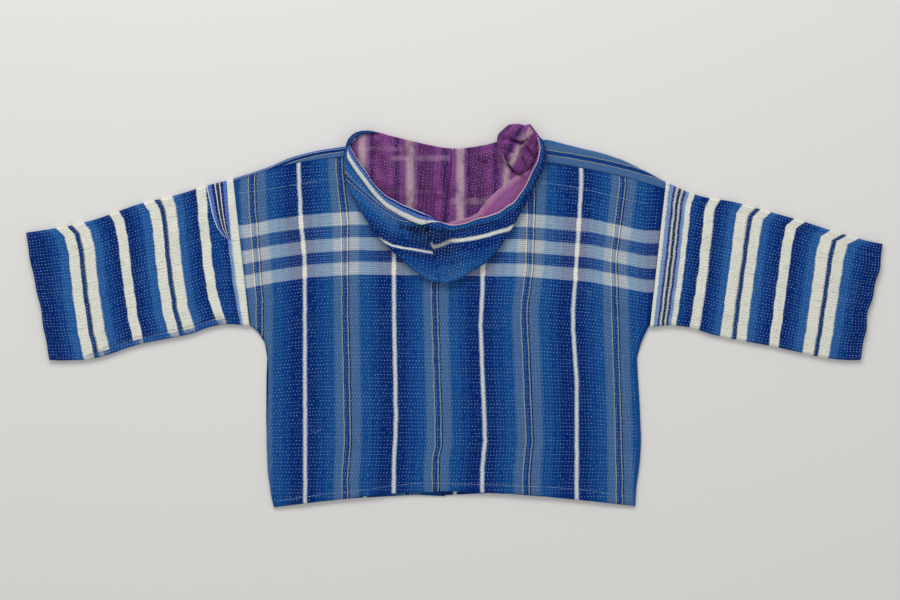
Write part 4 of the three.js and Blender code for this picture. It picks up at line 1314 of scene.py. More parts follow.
@dataclass
class Hood:
    """The hood, open on the upper back: lining up below, blue side up above."""

    sections: dict[str, list[float]] = field(default_factory=lambda: columns(
        "order seamX seamY seamZ foldX foldY crownX crownY rimX rimY rimZ", [
            (0, -145, 234, 1.2, -142, 273, -165, 246, -157, 254, 15),
            (1, -131, 232, 1.2, -133, 276, -163, 210, -148, 237, 18),
            (2, -116, 236, 1.6, -119, 275, -147, 171, -132, 214, 20),
            (3, -100, 235.1, 4, -101, 270, -123, 132, -112, 186, 21),
            (4, -81, 234.1, 4.7, -81, 265, -103, 108, -89, 169, 21),
            (5, -60, 232.9, 4.7, -60, 260, -79, 85, -65, 159, 20),
            (6, -33, 231.5, 4.7, -33, 254, -50, 61, -40, 150, 20),
            (7, -4, 230, 4.7, -4, 250, -24, 51, -16, 139, 20),
            (8, 17, 229.9, 4.7, 17, 251, -3, 53, 9, 138, 19),
            (9, 38, 229.9, 4.7, 38, 254, 22, 66, 33, 146, 19),
            (10, 56, 229.9, 4.7, 56, 258, 54, 89, 56, 152, 19),
            (11, 72, 229.9, 4, 72, 264, 78, 122, 77, 164, 20.4),
            (12, 87, 230.2, 2.6, 86, 271, 99, 158, 96, 182, 21.4),
            (13, 100, 233, 1.2, 98, 279, 121, 201, 114, 215, 21.3),
            (14, 110, 233, 1.2, 107, 285, 135, 234, 125, 243, 20.5),
            (15, 118, 234, 1.2, 113, 286.5, 132, 261, 123, 267, 17.8),
        ]))
    low: float = 8.6
    crown_radius: float = 3.6
    rim_bow: float = 0.6
    seam_at: float = 7.0
    seam_at_rim: float = 5.93
    seam_gap: float = 0.012
    lines: int = 132
    lower_steps: int = 70
    upper_steps: int = 40
    turn_steps: int = 8
    double_line: Grid = field(default_factory=lambda: plan_of([
        (330, 163), (346.5, 177.0), (355, 186.0), (363.7, 193.4), (376.6, 204.8), (388, 213.6),
        (398, 219.0), (406.7, 221.5), (420, 220.0), (440, 215.0)]))
    left_white: Grid = field(default_factory=lambda: plan_of([
        (330, 222), (345, 226), (371, 233.5), (383.8, 241.0), (392.4, 245.7), (402.4, 248.0),
        (409.6, 249.1), (421, 250.9), (431.8, 252.7), (446, 254.0)]))
    right_white: Grid = field(default_factory=lambda: plan_of([
        (418, 240), (429.7, 243.2), (434, 247.1), (441.2, 245.7), (449.8, 241.4), (464.1, 240),
        (478.5, 237.8), (492.8, 233.5), (507.2, 230.0), (517.2, 224.5), (530, 212), (548, 185),
        (556, 150)]))
    rim_band: Grid = field(default_factory=lambda: plan_of([
        (344, 140), (345, 151), (349.3, 161), (356.5, 172.0), (363.7, 181.6), (370.9, 191.2),
        (378, 199.4), (388, 208.6), (399.6, 215.6), (412.5, 222.0), (426.8, 227.0),
        (435.4, 230.2), (446, 231.6), (462, 231.2)]))
    lining_hem: Grid = field(default_factory=lambda: plan_of([
        (524.5, 168), (521.5, 173.2), (507.2, 183.3), (492.8, 195.5), (482.8, 207),
        (478.5, 213.4), (470, 217.5), (452, 222.5)]))
    creases: list[Crease] = field(default_factory=lambda: [
        Crease(-104, 150, -70, 137, 4.5, 2.4), Crease(-70, 137, -48, 139, 3.5, 1.2),
        Crease(-82, 131, -40, 129, 3.6, -3.0), Crease(-72, 124, -88, 104, 4, -1.6),
        Crease(-76, 130, -90, 112, 6, 1.2), Crease(-58, 126, -46, 96, 6, 0.9),
        Crease(-120, 190, -104, 168, 5, -0.8), Crease(100, 186, 124, 216, 4, -1.1),
        Crease(112, 176, 128, 206, 4, 0.9), Crease(40, 128, 84, 142, 8, 0.7),
        Crease(-10, 120, -18, 84, 8, 0.8), Crease(10, 96, 40, 106, 7, -0.7),
    ])
    # painted highlight: lighter blue painted along the hood's folds where they face the light
    pale: list[Crease] = field(default_factory=lambda: [
        Crease(112, 190, 130, 219, 5, 0.75), Crease(-22, 66, 10, 70, 7, 0.55),
        Crease(-118, 170, -92, 134, 8, 0.30), Crease(-146, 196, -132, 172, 6, 0.35),
    ])
    # painted shade: darker blue painted in the hollows of the hood's folds and its dart
    deep: list[Crease] = field(default_factory=lambda: [
        Crease(-78, 133, -44, 128, 5.5, 0.6), Crease(-82, 134, -92, 114, 4.5, 0.4),
        Crease(-66, 128, -60, 112, 5, 0.3), Crease(-56, 124, -14, 116, 12, 0.7),
        Crease(-46, 106, -12, 98, 10, 0.5), Crease(-30, 90, 4, 72, 12, 0.35),
    ])
    lining_creases: list[Crease] = field(default_factory=lambda: [
        Crease(-142, 246, -120, 205, 7, 1.6), Crease(-118, 258, -104, 214, 8, -1.0),
        Crease(-86, 250, -82, 190, 9, 1.0), Crease(-60, 240, -50, 176, 8, -0.9),
        Crease(-30, 236, -26, 160, 7, 0.8), Crease(22, 238, 16, 156, 8, 1.2),
        Crease(44, 240, 40, 168, 7, -1.0), Crease(62, 246, 66, 190, 7, 1.3),
        Crease(70, 232, 96, 216, 5, -1.6), Crease(84, 226, 104, 206, 5, -1.8),
        Crease(76, 214, 92, 204, 4, 1.2), Crease(88, 217, 101, 221, 4, -2.4),
        Crease(-5, 238, -9, 150, 1.6, -1.3), Crease(-0.5, 238, -5, 150, 1.4, 0.8),
        Crease(-132, 215, -112, 186, 6, -1.5), Crease(14, 236, 60, 230, 8, -0.9),
    ])

    def bunch(self, x: Grid, y: Grid) -> Grid:
        """Gives the rise of the lining towards the gathered corner of the mouth."""
        return 4.5 * np.exp(-(np.hypot(x - 92, y - 254) / 22) ** 2)

    def section(self, order: float) -> tuple[Grid, Grid]:
        """Gives the middle surface along one section.

        Args:
            order: its place from the left corner of the mouth, 0, to the right one, 15.

        Returns:
            Its points from the neck seam to the rim, and for each point which run it is in:
            0 at the neck, 1 on the lower layer, 2 round the crown, 3 on the upper layer.
        """
        rows = self.sections
        at = {name: float(follow(rows["order"], rows[name], order)) for name in rows}
        seam, fold, crown, rim = (np.array([at[f"{name}X"], at[f"{name}Y"]])
                                  for name in ("seam", "fold", "crown", "rim"))
        out = (fold - crown) / np.linalg.norm(fold - crown)
        fold_top = self.low + float(self.bunch(*fold))
        neck_radius = max(2.0, 0.8 * (fold_top - at["seamZ"]) / 2)
        neck = fold - out * neck_radius
        bend = crown + out * self.crown_radius
        crown_top = self.low + 2 * self.crown_radius
        points: list[tuple[float, float, float]] = []
        runs: list[float] = []

        def put(place: Grid, z: float, run: float) -> None:
            """Adds one point."""
            points.append((float(place[0]), float(place[1]), float(z)))
            runs.append(run)

        def turn(centre: Grid, reach: float, start: float, end: float, run: float) -> None:
            """Adds half a turn."""
            for i in range(self.turn_steps + 1):
                angle = math.pi * i / self.turn_steps
                put(centre + out * reach * math.sin(angle),
                    mix(start, end, (1 - math.cos(angle)) / 2), run + i / self.turn_steps)

        put(seam, at["seamZ"], 0.0)
        put(mix(seam, neck, 0.5), at["seamZ"], 0.0)
        turn(neck, neck_radius, at["seamZ"], fold_top, 0.0)
        for i in range(1, self.lower_steps):
            place = mix(neck, bend, i / self.lower_steps)
            put(place, self.low + float(self.bunch(*place)), 1.0 + i / self.lower_steps)
        turn(bend, -self.crown_radius, self.low, crown_top, 2.0)
        for i in range(1, self.upper_steps + 1):
            share = i / self.upper_steps
            bow = self.rim_bow * (1 - (2 * share - 1) ** 2)
            put(mix(bend, rim, share), mix(crown_top, at["rimZ"], share) + bow, 3.0 + share)
        return np.array(points), np.array(runs)

    def half(self, side: Side) -> tuple[Grid, Grid, Grid]:
        """Gives the middle surface of one half, which ends at the slanted centre seam.

        Args:
            side: which half.

        Returns:
            Its points, the runs they are in, and their orders.
        """
        found = [self.section(order) for order in np.linspace(0, 15, 301)]
        table = np.stack([points for points, _ in found])
        runs = found[0][1]
        seam = mix(self.seam_at, self.seam_at_rim, smooth(runs - 3.0) ** 0.8)
        share = np.linspace(0, 1, self.lines + 1)[:, None]
        if side is Side.LEFT:
            order = mix(0.0, seam - self.seam_gap, share)
        else:
            order = mix(seam + self.seam_gap, 15.0, share)
        at = order * 20
        row = np.clip(at.astype(int), 0, 299)
        column = np.broadcast_to(np.arange(len(runs)), row.shape)
        points = mix(table[row, column], table[row + 1, column], (at - row)[..., None])
        return points, np.broadcast_to(runs, row.shape).copy(), order

    def shaped(self, side: Side) -> tuple[Grid, dict[str, Grid]]:
        """Gives one half with its band, hem and creases, and the marks its finishes read.

        Args:
            side: which half.

        Returns:
            The middle surface, and its marks by name.
        """
        points, runs, order = self.half(side)
        points = points.copy()
        length = np.linalg.norm(points[:, -1] - points[:, -self.upper_steps - 1], axis=1)[:, None]
        way = (points[:, -1] - points[:, -self.upper_steps - 1])[:, None] / length[..., None]
        further = 3.4 * np.exp(-((order - 4.0) / 1.4) ** 2) * smooth((runs - 3.3) / 0.7)
        points += way * further[..., None]
        x, y = points[..., 0], points[..., 1]
        rim = np.where(runs >= 3, (4 - runs) * length, 50.0)
        above = smooth(runs - 2.8)
        band = -aside(self.rim_band, x, y)
        band = np.where(band > 0, band * 16.8 / np.clip(band + rim, 8, 26), band)
        band_on = above * smooth((-17.0 - x) / 2.0) * (runs > 3)
        hem = -aside(self.lining_hem, x, y)
        lift = crease_height(self.creases, x, y) * above
        lift += band_on * (1.4 * smooth(band / 0.9) - 1.9 * np.exp(-((band + 1.9) / 1.5) ** 2)
                           - 0.5 * np.exp(-((band - 7.0) / 0.9) ** 2))
        rolled = above * smooth((x + 20.0) / 3.0)
        lift += rolled * (0.6 * smooth((8.6 - rim) / 1.0) - 2.0 * np.exp(-((rim - 9.6) / 1.3) ** 2))
        below = smooth((runs - 1.0) * 8) * (1 - smooth((runs - 1.5) * 2.4))
        lift += below * crease_height(self.lining_creases, x, y)
        lift += below * 2.2 * smooth(hem / 1.6) * (side is Side.RIGHT)
        seam_side = (1 - np.arange(len(x))[:, None] / self.lines if side is Side.LEFT
                     else np.arange(len(x))[:, None] / self.lines)
        seam = np.exp(-(seam_side * self.lines / 2.2) ** 2) * (1 - band_on * smooth(band))
        puff = 0.24 * (0.5 - 0.5 * np.cos(2 * math.pi * order * 36 / 7))
        lift = lift - seam + puff * (above + below)
        points[..., 2] += lift
        # marks for painted highlight on the folds, painted shade in hollows and lining troughs
        pale = crease_height(self.pale, x, y) * above
        deep = np.clip(crease_height(self.deep, x, y) * above
                       - below * crease_height(self.lining_creases, x, y) / 2.4, 0, 1)
        return points, {"layer": runs, "band": np.where(band_on > 0.5, band, -9.0), "hem": hem,
                        "rim": rim, "order": order, "pale": pale, "deep": deep,
                        "rolled": (rolled > 0.5) * np.clip(12 - rim, 0, 12)}

    def cloth(self, side: Side, points: Grid, marks: dict[str, Grid]) -> Grid:
        """Gives the place of the blue cloth's points: across the stripes, and along them."""
        x, y = points[..., 0], points[..., 1]
        if side is Side.RIGHT:
            across = 135.0 + aside(self.right_white, x, y)
        else:
            double = np.interp(x, self.double_line[:, 0], self.double_line[:, 1])
            white = np.interp(x, self.left_white[:, 0], self.left_white[:, 1])
            across = 64.8 + (double - y) / (double - white) * 70.2
        return np.stack([across, marks["order"] * 36 / 7 * ROW_PITCH], axis=-1)

    def make(self, side: Side, outside: bpy.types.Material,
             lining: bpy.types.Material) -> list[bpy.types.Object]:
        """Makes one half of the hood: the blue cloth and its lining.

        Args:
            side: which half.
            outside: the finish of the blue side.
            lining: the finish of the lining.

        Returns:
            The two pieces.
        """
        middle, marks = self.shaped(side)
        normal = normals_of(middle)
        blue, inside = Shell(), Shell()
        blue.panel(middle + normal, middle + normal * 0.05, self.cloth(side, middle, marks),
                   **marks)
        flap = self.flap(side)
        blue.slab(flap, 0.0, WALL, np.array(flap, float))
        if side is Side.LEFT:
            self.bind(blue)
        inside.panel(middle - normal * 0.05, middle - normal, middle[..., 1::-1], **marks)
        return [blue.build(f"hood_{side.value}_blue", [outside]),
                inside.build(f"hood_{side.value}_lining", [lining])]

    def bind(self, blue: Shell) -> None:
        """Adds the selvedge where it wraps round the left corner of the mouth."""
        outer = plan_of([(345.6, 153), (345.8, 148.8), (346.4, 145.0), (348.6, 139.9),
                         (352.2, 135.6), (356.5, 132.8), (361.5, 131.4), (367.5, 131.0),
                         (373.5, 131.6), (378, 133.2)])
        inner = plan_of([(350.6, 153), (350.4, 148.8), (351.0, 144.6), (354.4, 139.4),
                         (359.0, 136.2), (364.0, 134.6), (370.0, 133.8), (376.0, 133.8),
                         (377.0, 134.2), (379, 134.4)])
        at = np.linspace(0, 9, 55)
        lines = [np.stack([np.interp(at, range(10), line[:, axis]) for axis in (0, 1)], axis=1)
                 for line in (outer, inner)]
        top = np.interp(at, [0, 1, 3, 6, 9], [15.4, 17.2, 16.4, 14.0, 11.4])
        low = np.full(len(at), 7.4)
        cloth = np.array([(75.0, 0.0), (75.0, 4.0), (2.0, 6.0), (110.0, 8.0), (110.0, 9.0),
                          (110.0, 14.0)])
        blue.binding(*lines, low, top, cloth)

    def rows_of_stitch(self, side: Side, upper: bool) -> list[tuple[Grid, Grid, Grid]]:
        """Gives the rows of stitch on one layer of one half.

        Args:
            side: which half.
            upper: the blue upper layer, and otherwise the lining that shows below it.

        Returns:
            For each row its points and their normals.
        """
        middle, marks = self.shaped(side)
        normal = normals_of(middle) * (1 if upper else -1)
        order, runs = marks["order"], marks["layer"]
        place = self.cloth(side, middle, marks)
        shown = HOOD_CHART.light(place[..., 0]) if upper else np.zeros(runs.shape)
        rows = []
        first, last = (2.6, 3.95) if upper else (1.03, 1.98)
        columns_in = np.nonzero((runs[0] > first) & (runs[0] < last))[0]
        for k in range(1, 78):
            wanted = k * 7 / 36
            line, out, light = [], [], []
            for j in columns_in:
                at = order[:, j]
                if not at[0] + 0.06 < wanted < at[-1] - 0.06:
                    continue
                line.append([np.interp(wanted, at, middle[:, j, axis]) for axis in range(3)])
                out.append([np.interp(wanted, at, normal[:, j, axis]) for axis in range(3)])
                light.append(np.interp(wanted, at, shown[:, j]))
            if len(line) > 3:
                rows.append((np.array(line) + np.array(out) * 1.05, np.array(out),
                             np.array(light)))
        return rows

    def flap(self, side: Side) -> list[tuple[float, float]]:
        """Gives the outline of the front of the hood, which lies flat underneath."""
        if side is Side.LEFT:
            neck = [(-166, 238), (-155, 216), (-131, 181.5), (-85, 148.5), (-15.4, 130)]
            edge = [(-16, 140), (-65, 175), (-105, 215), (-116, 246), (-136, 262)]
        else:
            neck = [(138, 229), (127, 210), (103, 179), (56, 148), (-14.6, 130)]
            edge = [(-14, 140), (42, 175), (82, 212), (98, 246), (106, 268)]
        return [(x, y + 0.5) for x, y in neck] + edge


@dataclass
class Gather:
    """The lining scrunched up at the right corner of the hood's mouth."""

    outline: Grid = field(default_factory=lambda: plan_of([
        (496.5, 142.5), (498.5, 135), (504, 128.5), (509, 125.3), (516, 124.6), (523.5, 125.2),
        (529, 127.6), (534, 133.5), (537.0, 145), (536.5, 156), (532.5, 166), (527.5, 172.0),
        (518.5, 174.5), (510.5, 166.5), (503, 154.5), (498.5, 148.5)]))
    pinch: tuple[float, float] = (98.0, 259.5)
    base: float = 9.6
    rise: float = 8.6
    rings: int = 44
    turns: int = 150
    folds: list[Crease] = field(default_factory=lambda: [
        Crease(96, 260, 76, 272, 3.4, 2.6), Crease(94, 264, 88, 284, 3.0, 2.0),
        Crease(99, 264, 104, 284, 3.2, 2.6), Crease(104, 262, 118, 272, 3.2, 2.4),
        Crease(106, 255, 121, 246, 3.4, 2.6), Crease(102, 250, 112, 226, 3.6, 2.8),
        Crease(94, 252, 82, 238, 3.4, 2.4), Crease(90, 257, 66, 258, 3.0, 2.0),
        Crease(84, 262, 100, 258, 2.6, -5.2), Crease(98, 258, 106, 262, 2.2, -4.6),
        Crease(92, 268, 97, 280, 1.8, -2.6), Crease(109, 264, 114, 278, 1.8, -2.6),
        Crease(108, 250, 118, 236, 2.0, -3.0), Crease(98, 248, 96, 232, 2.0, -3.2),
        Crease(72, 250, 88, 244, 2.2, -2.4), Crease(74, 264, 86, 266, 1.6, -1.8),
        Crease(100, 236, 110, 216, 2.2, -3.0), Crease(92, 240, 104, 222, 2.0, 1.6),
    ])

    def make(self, finish: bpy.types.Material) -> bpy.types.Object:
        """Makes the gathered cloth, from its pinch out to its outline and back underneath."""
        centre = np.array(self.pinch)
        ring = np.concatenate([self.outline, self.outline[:1]])
        away = ring - centre
        angle = np.unwrap(np.arctan2(away[:, 1], away[:, 0]))
        if angle[-1] < angle[0]:
            angle, away = angle[::-1], away[::-1]
        reach = np.hypot(away[:, 0], away[:, 1])
        turn = angle[0] + np.linspace(0, 2 * math.pi, self.turns, endpoint=False)
        edge = np.interp(turn, angle, reach)
        edge = edge + 0.4 * np.sin(turn * 7 + 0.6) + 0.3 * np.sin(turn * 11 + 2.0)
        share = np.sin(np.linspace(0.02, 1, self.rings) * math.pi / 2)
        x = centre[0] + np.cos(turn)[:, None] * edge[:, None] * share
        y = centre[1] + np.sin(turn)[:, None] * edge[:, None] * share
        dome = np.sqrt(np.maximum(0.0, 1 - share ** 4))
        fold = crease_height(self.folds, x, y)
        crinkle = 0.7 * np.sin(x * 0.9 + 2 * np.sin(y * 0.35)) * np.sin(y * 0.75 + x * 0.2)
        z = self.base + (self.rise + fold + crinkle) * dome
        z = np.minimum(z, 21.4)
        top = np.stack([x, y, z], axis=-1)
        bottom = top.copy()
        bottom[..., 2] = np.minimum(self.base - 1.2 * dome, top[..., 2] - 0.2)
        bottom[:, -1] = top[:, -1]
        shell = Shell()
        # painted shade in the troughs of the gathered folds
        deep = 0.6 * np.clip(-(fold + crinkle) / 3.6, 0, 1)
        upper = shell.vertices(top, hem=np.full(x.shape, -9.0), deep=deep)
        lower = shell.vertices(bottom[:, :-1], hem=np.full(x[:, :-1].shape, -9.0))
        off_x, off_y = x - centre[0], y - centre[1]
        cloth = np.stack([y + 0.7 * off_x + 20.0, x - 0.6 * off_y - 26.0 + 1.2 * fold], axis=-1)
        around = [np.concatenate([grid, grid[:1]]) for grid in (upper, cloth)]
        shell.cover(around[0], around[1], False)
        under = np.concatenate([lower, upper[:, -1:]], axis=1)
        shell.cover(np.concatenate([under, under[:1]]), around[1], True)
        tip = shell.vertices(np.array([[[*centre, float(top[:, 0, 2].mean())]],
                                       [[*centre, self.base - 1.2]]]), hem=np.full((2, 1), -9.0))
        for i in range(self.turns):
            k = (i + 1) % self.turns
            shell.faces.append((int(tip[0, 0]), int(upper[i, 0]), int(upper[k, 0])))
            shell.faces.append((int(tip[1, 0]), int(lower[k, 0]), int(lower[i, 0])))
            shell.corners.append(np.repeat(cloth[i, :1], 6, axis=0))
            shell.finishes += [0, 0]
        return shell.build("lining_gather", [finish])


def hood_cotton(finish: Cotton) -> bpy.types.Material:
    """Makes the hood's cotton: the body's stripes, what edges the rim, painted highlight and shade.
    """
    material, wires, place = finish.begin()
    u, _, _ = wires.split(place)

    def mark(name: str) -> bpy.types.NodeSocket:
        """Reads one of the marks of the hood's cloth."""
        return wires.add("ShaderNodeAttribute", attribute_name=name).outputs["Fac"]

    tint = wires.stripes(u, HOOD_CHART)
    # painted highlight along the lit folds, then painted shade in their hollows
    tint = wires.blend(mark("pale"), tint, paint(72, 118, 180))
    tint = wires.blend(mark("deep"), tint, paint(4, 18, 56))
    rolled, rim, band, layer = (mark(name) for name in ("rolled", "rim", "band", "layer"))
    # painted shadow in the groove beside the rolled strip; the strip itself is mid blue
    tint = wires.blend(wires.between(rolled, 0.6, 3.4), tint, paint(4, 16, 56))
    tint = wires.blend(wires.between(rolled, 3.4, 4.0), tint, paint(18, 72, 136))
    on_right = wires.sum("GREATER_THAN", rolled, 0.01)
    edge = wires.sum("MULTIPLY", on_right, wires.between(rim, 0.9, 1.3, 1.0, 0.0))
    tint = wires.blend(edge, tint, paint(218, 176, 184))
    upper = wires.sum("GREATER_THAN", layer, 3.0)
    across, _, _ = wires.split(wires.add("ShaderNodeTexCoord").outputs["Object"])
    taper = wires.between(across, -0.054, -0.0165, 1.0, 0.06)
    band = wires.sum("SUBTRACT", RIM_CHART.end, wires.sum(
        "DIVIDE", wires.sum("SUBTRACT", RIM_CHART.end, band), taper))
    shown = wires.sum("MULTIPLY", wires.between(band, -0.2, 0.2), upper)
    # painted shadow in the gap under the turned-out selvedge band
    trough = wires.sum("MULTIPLY", wires.between(band, -3.4, -0.6), upper)
    tint = wires.blend(wires.sum("MULTIPLY", trough, 0.7), tint, paint(4, 16, 50))
    tint = wires.blend(shown, tint, wires.stripes(band, RIM_CHART))
    finish.end(wires, place, tint)
    return material


def lining_cotton(finish: Cotton) -> bpy.types.Material:
    """Makes the lining's cotton: a purple check with cream lines, its turned hem, painted shade."""
    material, wires, place = finish.begin()
    y, x, _ = wires.split(place)
    base = wires.stripes(x, LINING_CHART)
    for middle, reach, share, first, last in (
            (250.0, 5.0, 0.14, -150.0, -70.0), (236.0, 6.0, 0.24, -96.0, -8.0),
            (172.0, 7.0, 0.30, -6.0, 60.0), (186.0, 4.0, 0.1, -140.0, -20.0)):
        away = wires.sum("ABSOLUTE", wires.sum("SUBTRACT", y, middle))
        there = wires.sum("MULTIPLY", wires.between(x, first - 6, first + 6),
                          wires.between(x, last - 4, last + 4, 1.0, 0.0))
        line = wires.sum("MULTIPLY", there, wires.between(away, reach * 0.3, reach, share, 0.0))
        base = wires.blend(line, base, paint(206, 176, 190))
    fleck = wires.noise(wires.vector("MULTIPLY", place, (0.22, 0.75, 1.0)), 1.0, 3.0, 0.7)
    base = wires.blend(wires.between(fleck, 0.54, 0.74, 0.0, 0.5), base, paint(192, 140, 182))
    base = wires.blend(wires.between(fleck, 0.28, 0.46, 0.5, 0.0), base, paint(70, 26, 82))
    threads = wires.noise(wires.vector("MULTIPLY", place, (0.04, 1.1, 1.0)), 1.0, 3.0, 0.6)
    base = wires.blend(wires.between(threads, 0.52, 0.72, 0.0, 0.22), base, paint(196, 150, 190))
    dark = wires.noise(wires.vector("MULTIPLY", place, (0.03, 0.04, 1.0)), 1.0, 3.0, 0.6)
    base = wires.blend(wires.between(dark, 0.46, 0.66, 0.0, 0.5), base, paint(62, 22, 72))
    hem = wires.add("ShaderNodeAttribute", attribute_name="hem").outputs["Fac"]
    turned = wires.ramp(wires.sum("DIVIDE", hem, 16.0), [
        (0.0, paint(214, 186, 186)), (0.08, paint(152, 84, 140)), (0.22, paint(190, 140, 166)),
        (0.27, paint(140, 74, 138)), (0.40, paint(184, 132, 162)), (0.46, paint(150, 84, 146)),
        (1.0, paint(156, 92, 150))], "LINEAR")
    tint = wires.blend(wires.between(hem, -0.2, 0.3), base, turned)
    # painted shade in the troughs of the lining's creases and the gathered folds
    deep = wires.add("ShaderNodeAttribute", attribute_name="deep").outputs["Fac"]
    tint = wires.blend(wires.sum("MULTIPLY", deep, 0.9), tint, paint(30, 8, 36))
    finish.end(wires, place, tint)
    return material


# ---------------------------------------------------------------- running stitch


def stitch_tree() -> bpy.types.NodeTree:
    """Makes the tree that sews a row of stitches along each guide line.

    Returns:
        The tree. Its guide lines carry "out", the way the cloth faces.
    """
    tree = bpy.data.node_groups.new("Running stitch", "GeometryNodeTree")
    sizes = {"Pitch": STITCH_PITCH * MM, "Length": 2.1 * MM, "Width": 0.8 * MM,
             "Height": 0.6 * MM, "Wander": 0.4 * MM, "Slant": 0.25, "Sewn Share": 0.94}
    tree.interface.new_socket("Geometry", in_out="INPUT", socket_type="NodeSocketGeometry")
    for title, value in sizes.items():
        socket = tree.interface.new_socket(title, in_out="INPUT", socket_type="NodeSocketFloat")
        socket.default_value = value
    tree.interface.new_socket("Seed", in_out="INPUT", socket_type="NodeSocketInt")
    tree.interface.new_socket("Thread", in_out="INPUT", socket_type="NodeSocketMaterial")
    tree.interface.new_socket("Geometry", in_out="OUTPUT", socket_type="NodeSocketGeometry")
    wires = Wires(tree)
    given = {socket.name: socket for socket in wires.add("NodeGroupInput").outputs}
    sink = wires.add("NodeGroupOutput")

    def chance(kind: str, low: object, high: object, step: int) -> bpy.types.NodeSocket:
        """Adds a random value with its own seed."""
        node = wires.add("FunctionNodeRandomValue", data_type=kind)
        first = {"FLOAT_VECTOR": 0, "FLOAT": 2, "BOOLEAN": 6}[kind]
        wires.plug(node.inputs[first], low)
        if kind != "BOOLEAN":
            wires.plug(node.inputs[first + 1], high)
        wires.plug(node.inputs["Seed"], wires.sum("ADD", given["Seed"], float(step)))
        return node.outputs[{"FLOAT_VECTOR": 0, "FLOAT": 1, "BOOLEAN": 3}[kind]]

    curve = wires.add("GeometryNodeMeshToCurve")
    wires.plug(curve.inputs["Mesh"], given["Geometry"])
    even = wires.add("GeometryNodeResampleCurve", mode="LENGTH")
    wires.plug(even.inputs["Curve"], curve.outputs[0])
    wires.plug(even.inputs["Length"], given["Pitch"])
    spread = wires.vector("MULTIPLY", chance("FLOAT_VECTOR", (-1, -1, -0.1), (1, 1, 0.1), 1),
                          wires.joined(*[given["Wander"]] * 3))
    moved = wires.add("GeometryNodeSetPosition")
    wires.plug(moved.inputs["Geometry"], even.outputs[0])
    wires.plug(moved.inputs["Offset"], spread)
    tangent = wires.add("GeometryNodeInputTangent").outputs[0]
    slant = wires.vector("MULTIPLY", chance("FLOAT_VECTOR", (-1, -1, 0), (1, 1, 0), 2),
                         wires.joined(*[given["Slant"]] * 3))
    out = wires.add("GeometryNodeInputNamedAttribute", data_type="FLOAT_VECTOR")
    out.inputs["Name"].default_value = "out"
    facing = wires.add("FunctionNodeAxesToRotation", primary_axis="Z", secondary_axis="X")
    wires.plug(facing.inputs[0], out.outputs["Attribute"])
    wires.plug(facing.inputs[1], wires.vector("ADD", tangent, slant))
    shape = wires.add("GeometryNodeMeshUVSphere")
    for title, value in (("Segments", 4), ("Rings", 3), ("Radius", 0.5)):
        shape.inputs[title].default_value = value
    sewn = wires.add("GeometryNodeInstanceOnPoints")
    wires.plug(sewn.inputs["Points"], moved.outputs[0])
    wires.plug(sewn.inputs["Instance"], shape.outputs["Mesh"])
    wires.plug(sewn.inputs["Selection"], chance("BOOLEAN", given["Sewn Share"], None, 3))
    wires.plug(sewn.inputs["Rotation"], facing.outputs[0])
    length = wires.sum("MULTIPLY", given["Length"], chance("FLOAT", 0.65, 1.3, 4))
    wires.plug(sewn.inputs["Scale"], wires.joined(length, given["Width"], given["Height"]))
    real = wires.add("GeometryNodeRealizeInstances")
    wires.plug(real.inputs[0], sewn.outputs[0])
    soft = wires.add("GeometryNodeSetShadeSmooth")
    wires.plug(soft.inputs["Geometry"], real.outputs[0])
    dyed = wires.add("GeometryNodeSetMaterial")
    wires.plug(dyed.inputs["Geometry"], soft.outputs[0])
    wires.plug(dyed.inputs["Material"], given["Thread"])
    wires.plug(sink.inputs[0], dyed.outputs[0])
    return tree


@dataclass(frozen=True)
class Stitching:
    """How a cloth is sewn: the size of a stitch and how unevenly the rows run."""

    pitch: float = STITCH_PITCH
    length: float = 2.2
    width: float = 1.05
    height: float = 0.6
    wander: float = 0.4
    slant: float = 0.25
    sewn_share: float = 0.94
    seed: int = 1

    def sew(self, name: str, rows: list[tuple[Grid, Grid, Grid]],
            thread: bpy.types.Material) -> bpy.types.Object:
        """Sews rows of stitches.

        Args:
            name: the name of the piece.
            rows: for each row its points, in millimetres, which way the cloth faces, and how
                light the cloth is.
            thread: the finish of the thread.

        Returns:
            The stitches as one plain mesh.
        """
        rng = np.random.default_rng(self.seed)
        rows = [(row.copy(), out, light) for row, out, light in rows]
        for number, (row, _, _) in enumerate(rows):
            row[0] = mix(row[0], row[1], 0.55 * (number % 2) + rng.uniform(0, 0.4))
        points = np.concatenate([row for row, _, _ in rows]) + (0.0, CENTRE_Y, 0.0)
        outs = np.concatenate([out for _, out, _ in rows])
        lights = np.concatenate([light for _, _, light in rows])
        edges, start = [], 0
        for row, _, _ in rows:
            edges += [(start + i, start + i + 1) for i in range(len(row) - 1)]
            start += len(row)
        mesh = bpy.data.meshes.new(f"{name}_guide")
        mesh.from_pydata((points * MM).tolist(), edges, [])
        mesh.attributes.new("out", "FLOAT_VECTOR", "POINT").data.foreach_set(
            "vector", outs.astype(float).ravel())
        mesh.attributes.new("light", "FLOAT", "POINT").data.foreach_set("value", lights)
        guide = bpy.data.objects.new(f"{name}_guide", mesh)
        bpy.context.scene.collection.objects.link(guide)
        sewing = guide.modifiers.new("running stitch", "NODES")
        sewing.node_group = bpy.data.node_groups["Running stitch"]
        values = {"Pitch": self.pitch * MM, "Length": self.length * MM, "Width": self.width * MM,
                  "Height": self.height * MM, "Wander": self.wander * MM, "Slant": self.slant,
                  "Sewn Share": self.sewn_share, "Seed": self.seed, "Thread": thread}
        for item in sewing.node_group.interface.items_tree:
            if item.in_out == "INPUT" and item.name in values:
                sewing[item.identifier] = values[item.name]
        graph = bpy.context.evaluated_depsgraph_get()
        sewn = bpy.data.meshes.new_from_object(guide.evaluated_get(graph))
        sewn.name = name
        bpy.data.objects.remove(guide)
        if thread.name not in [kept.name for kept in sewn.materials if kept]:
            sewn.materials.append(thread)
        piece = bpy.data.objects.new(name, sewn)
        bpy.context.scene.collection.objects.link(piece)
        log.info("%s: %d triangles", name, sum(len(p.vertices) - 2 for p in sewn.polygons))
        return piece


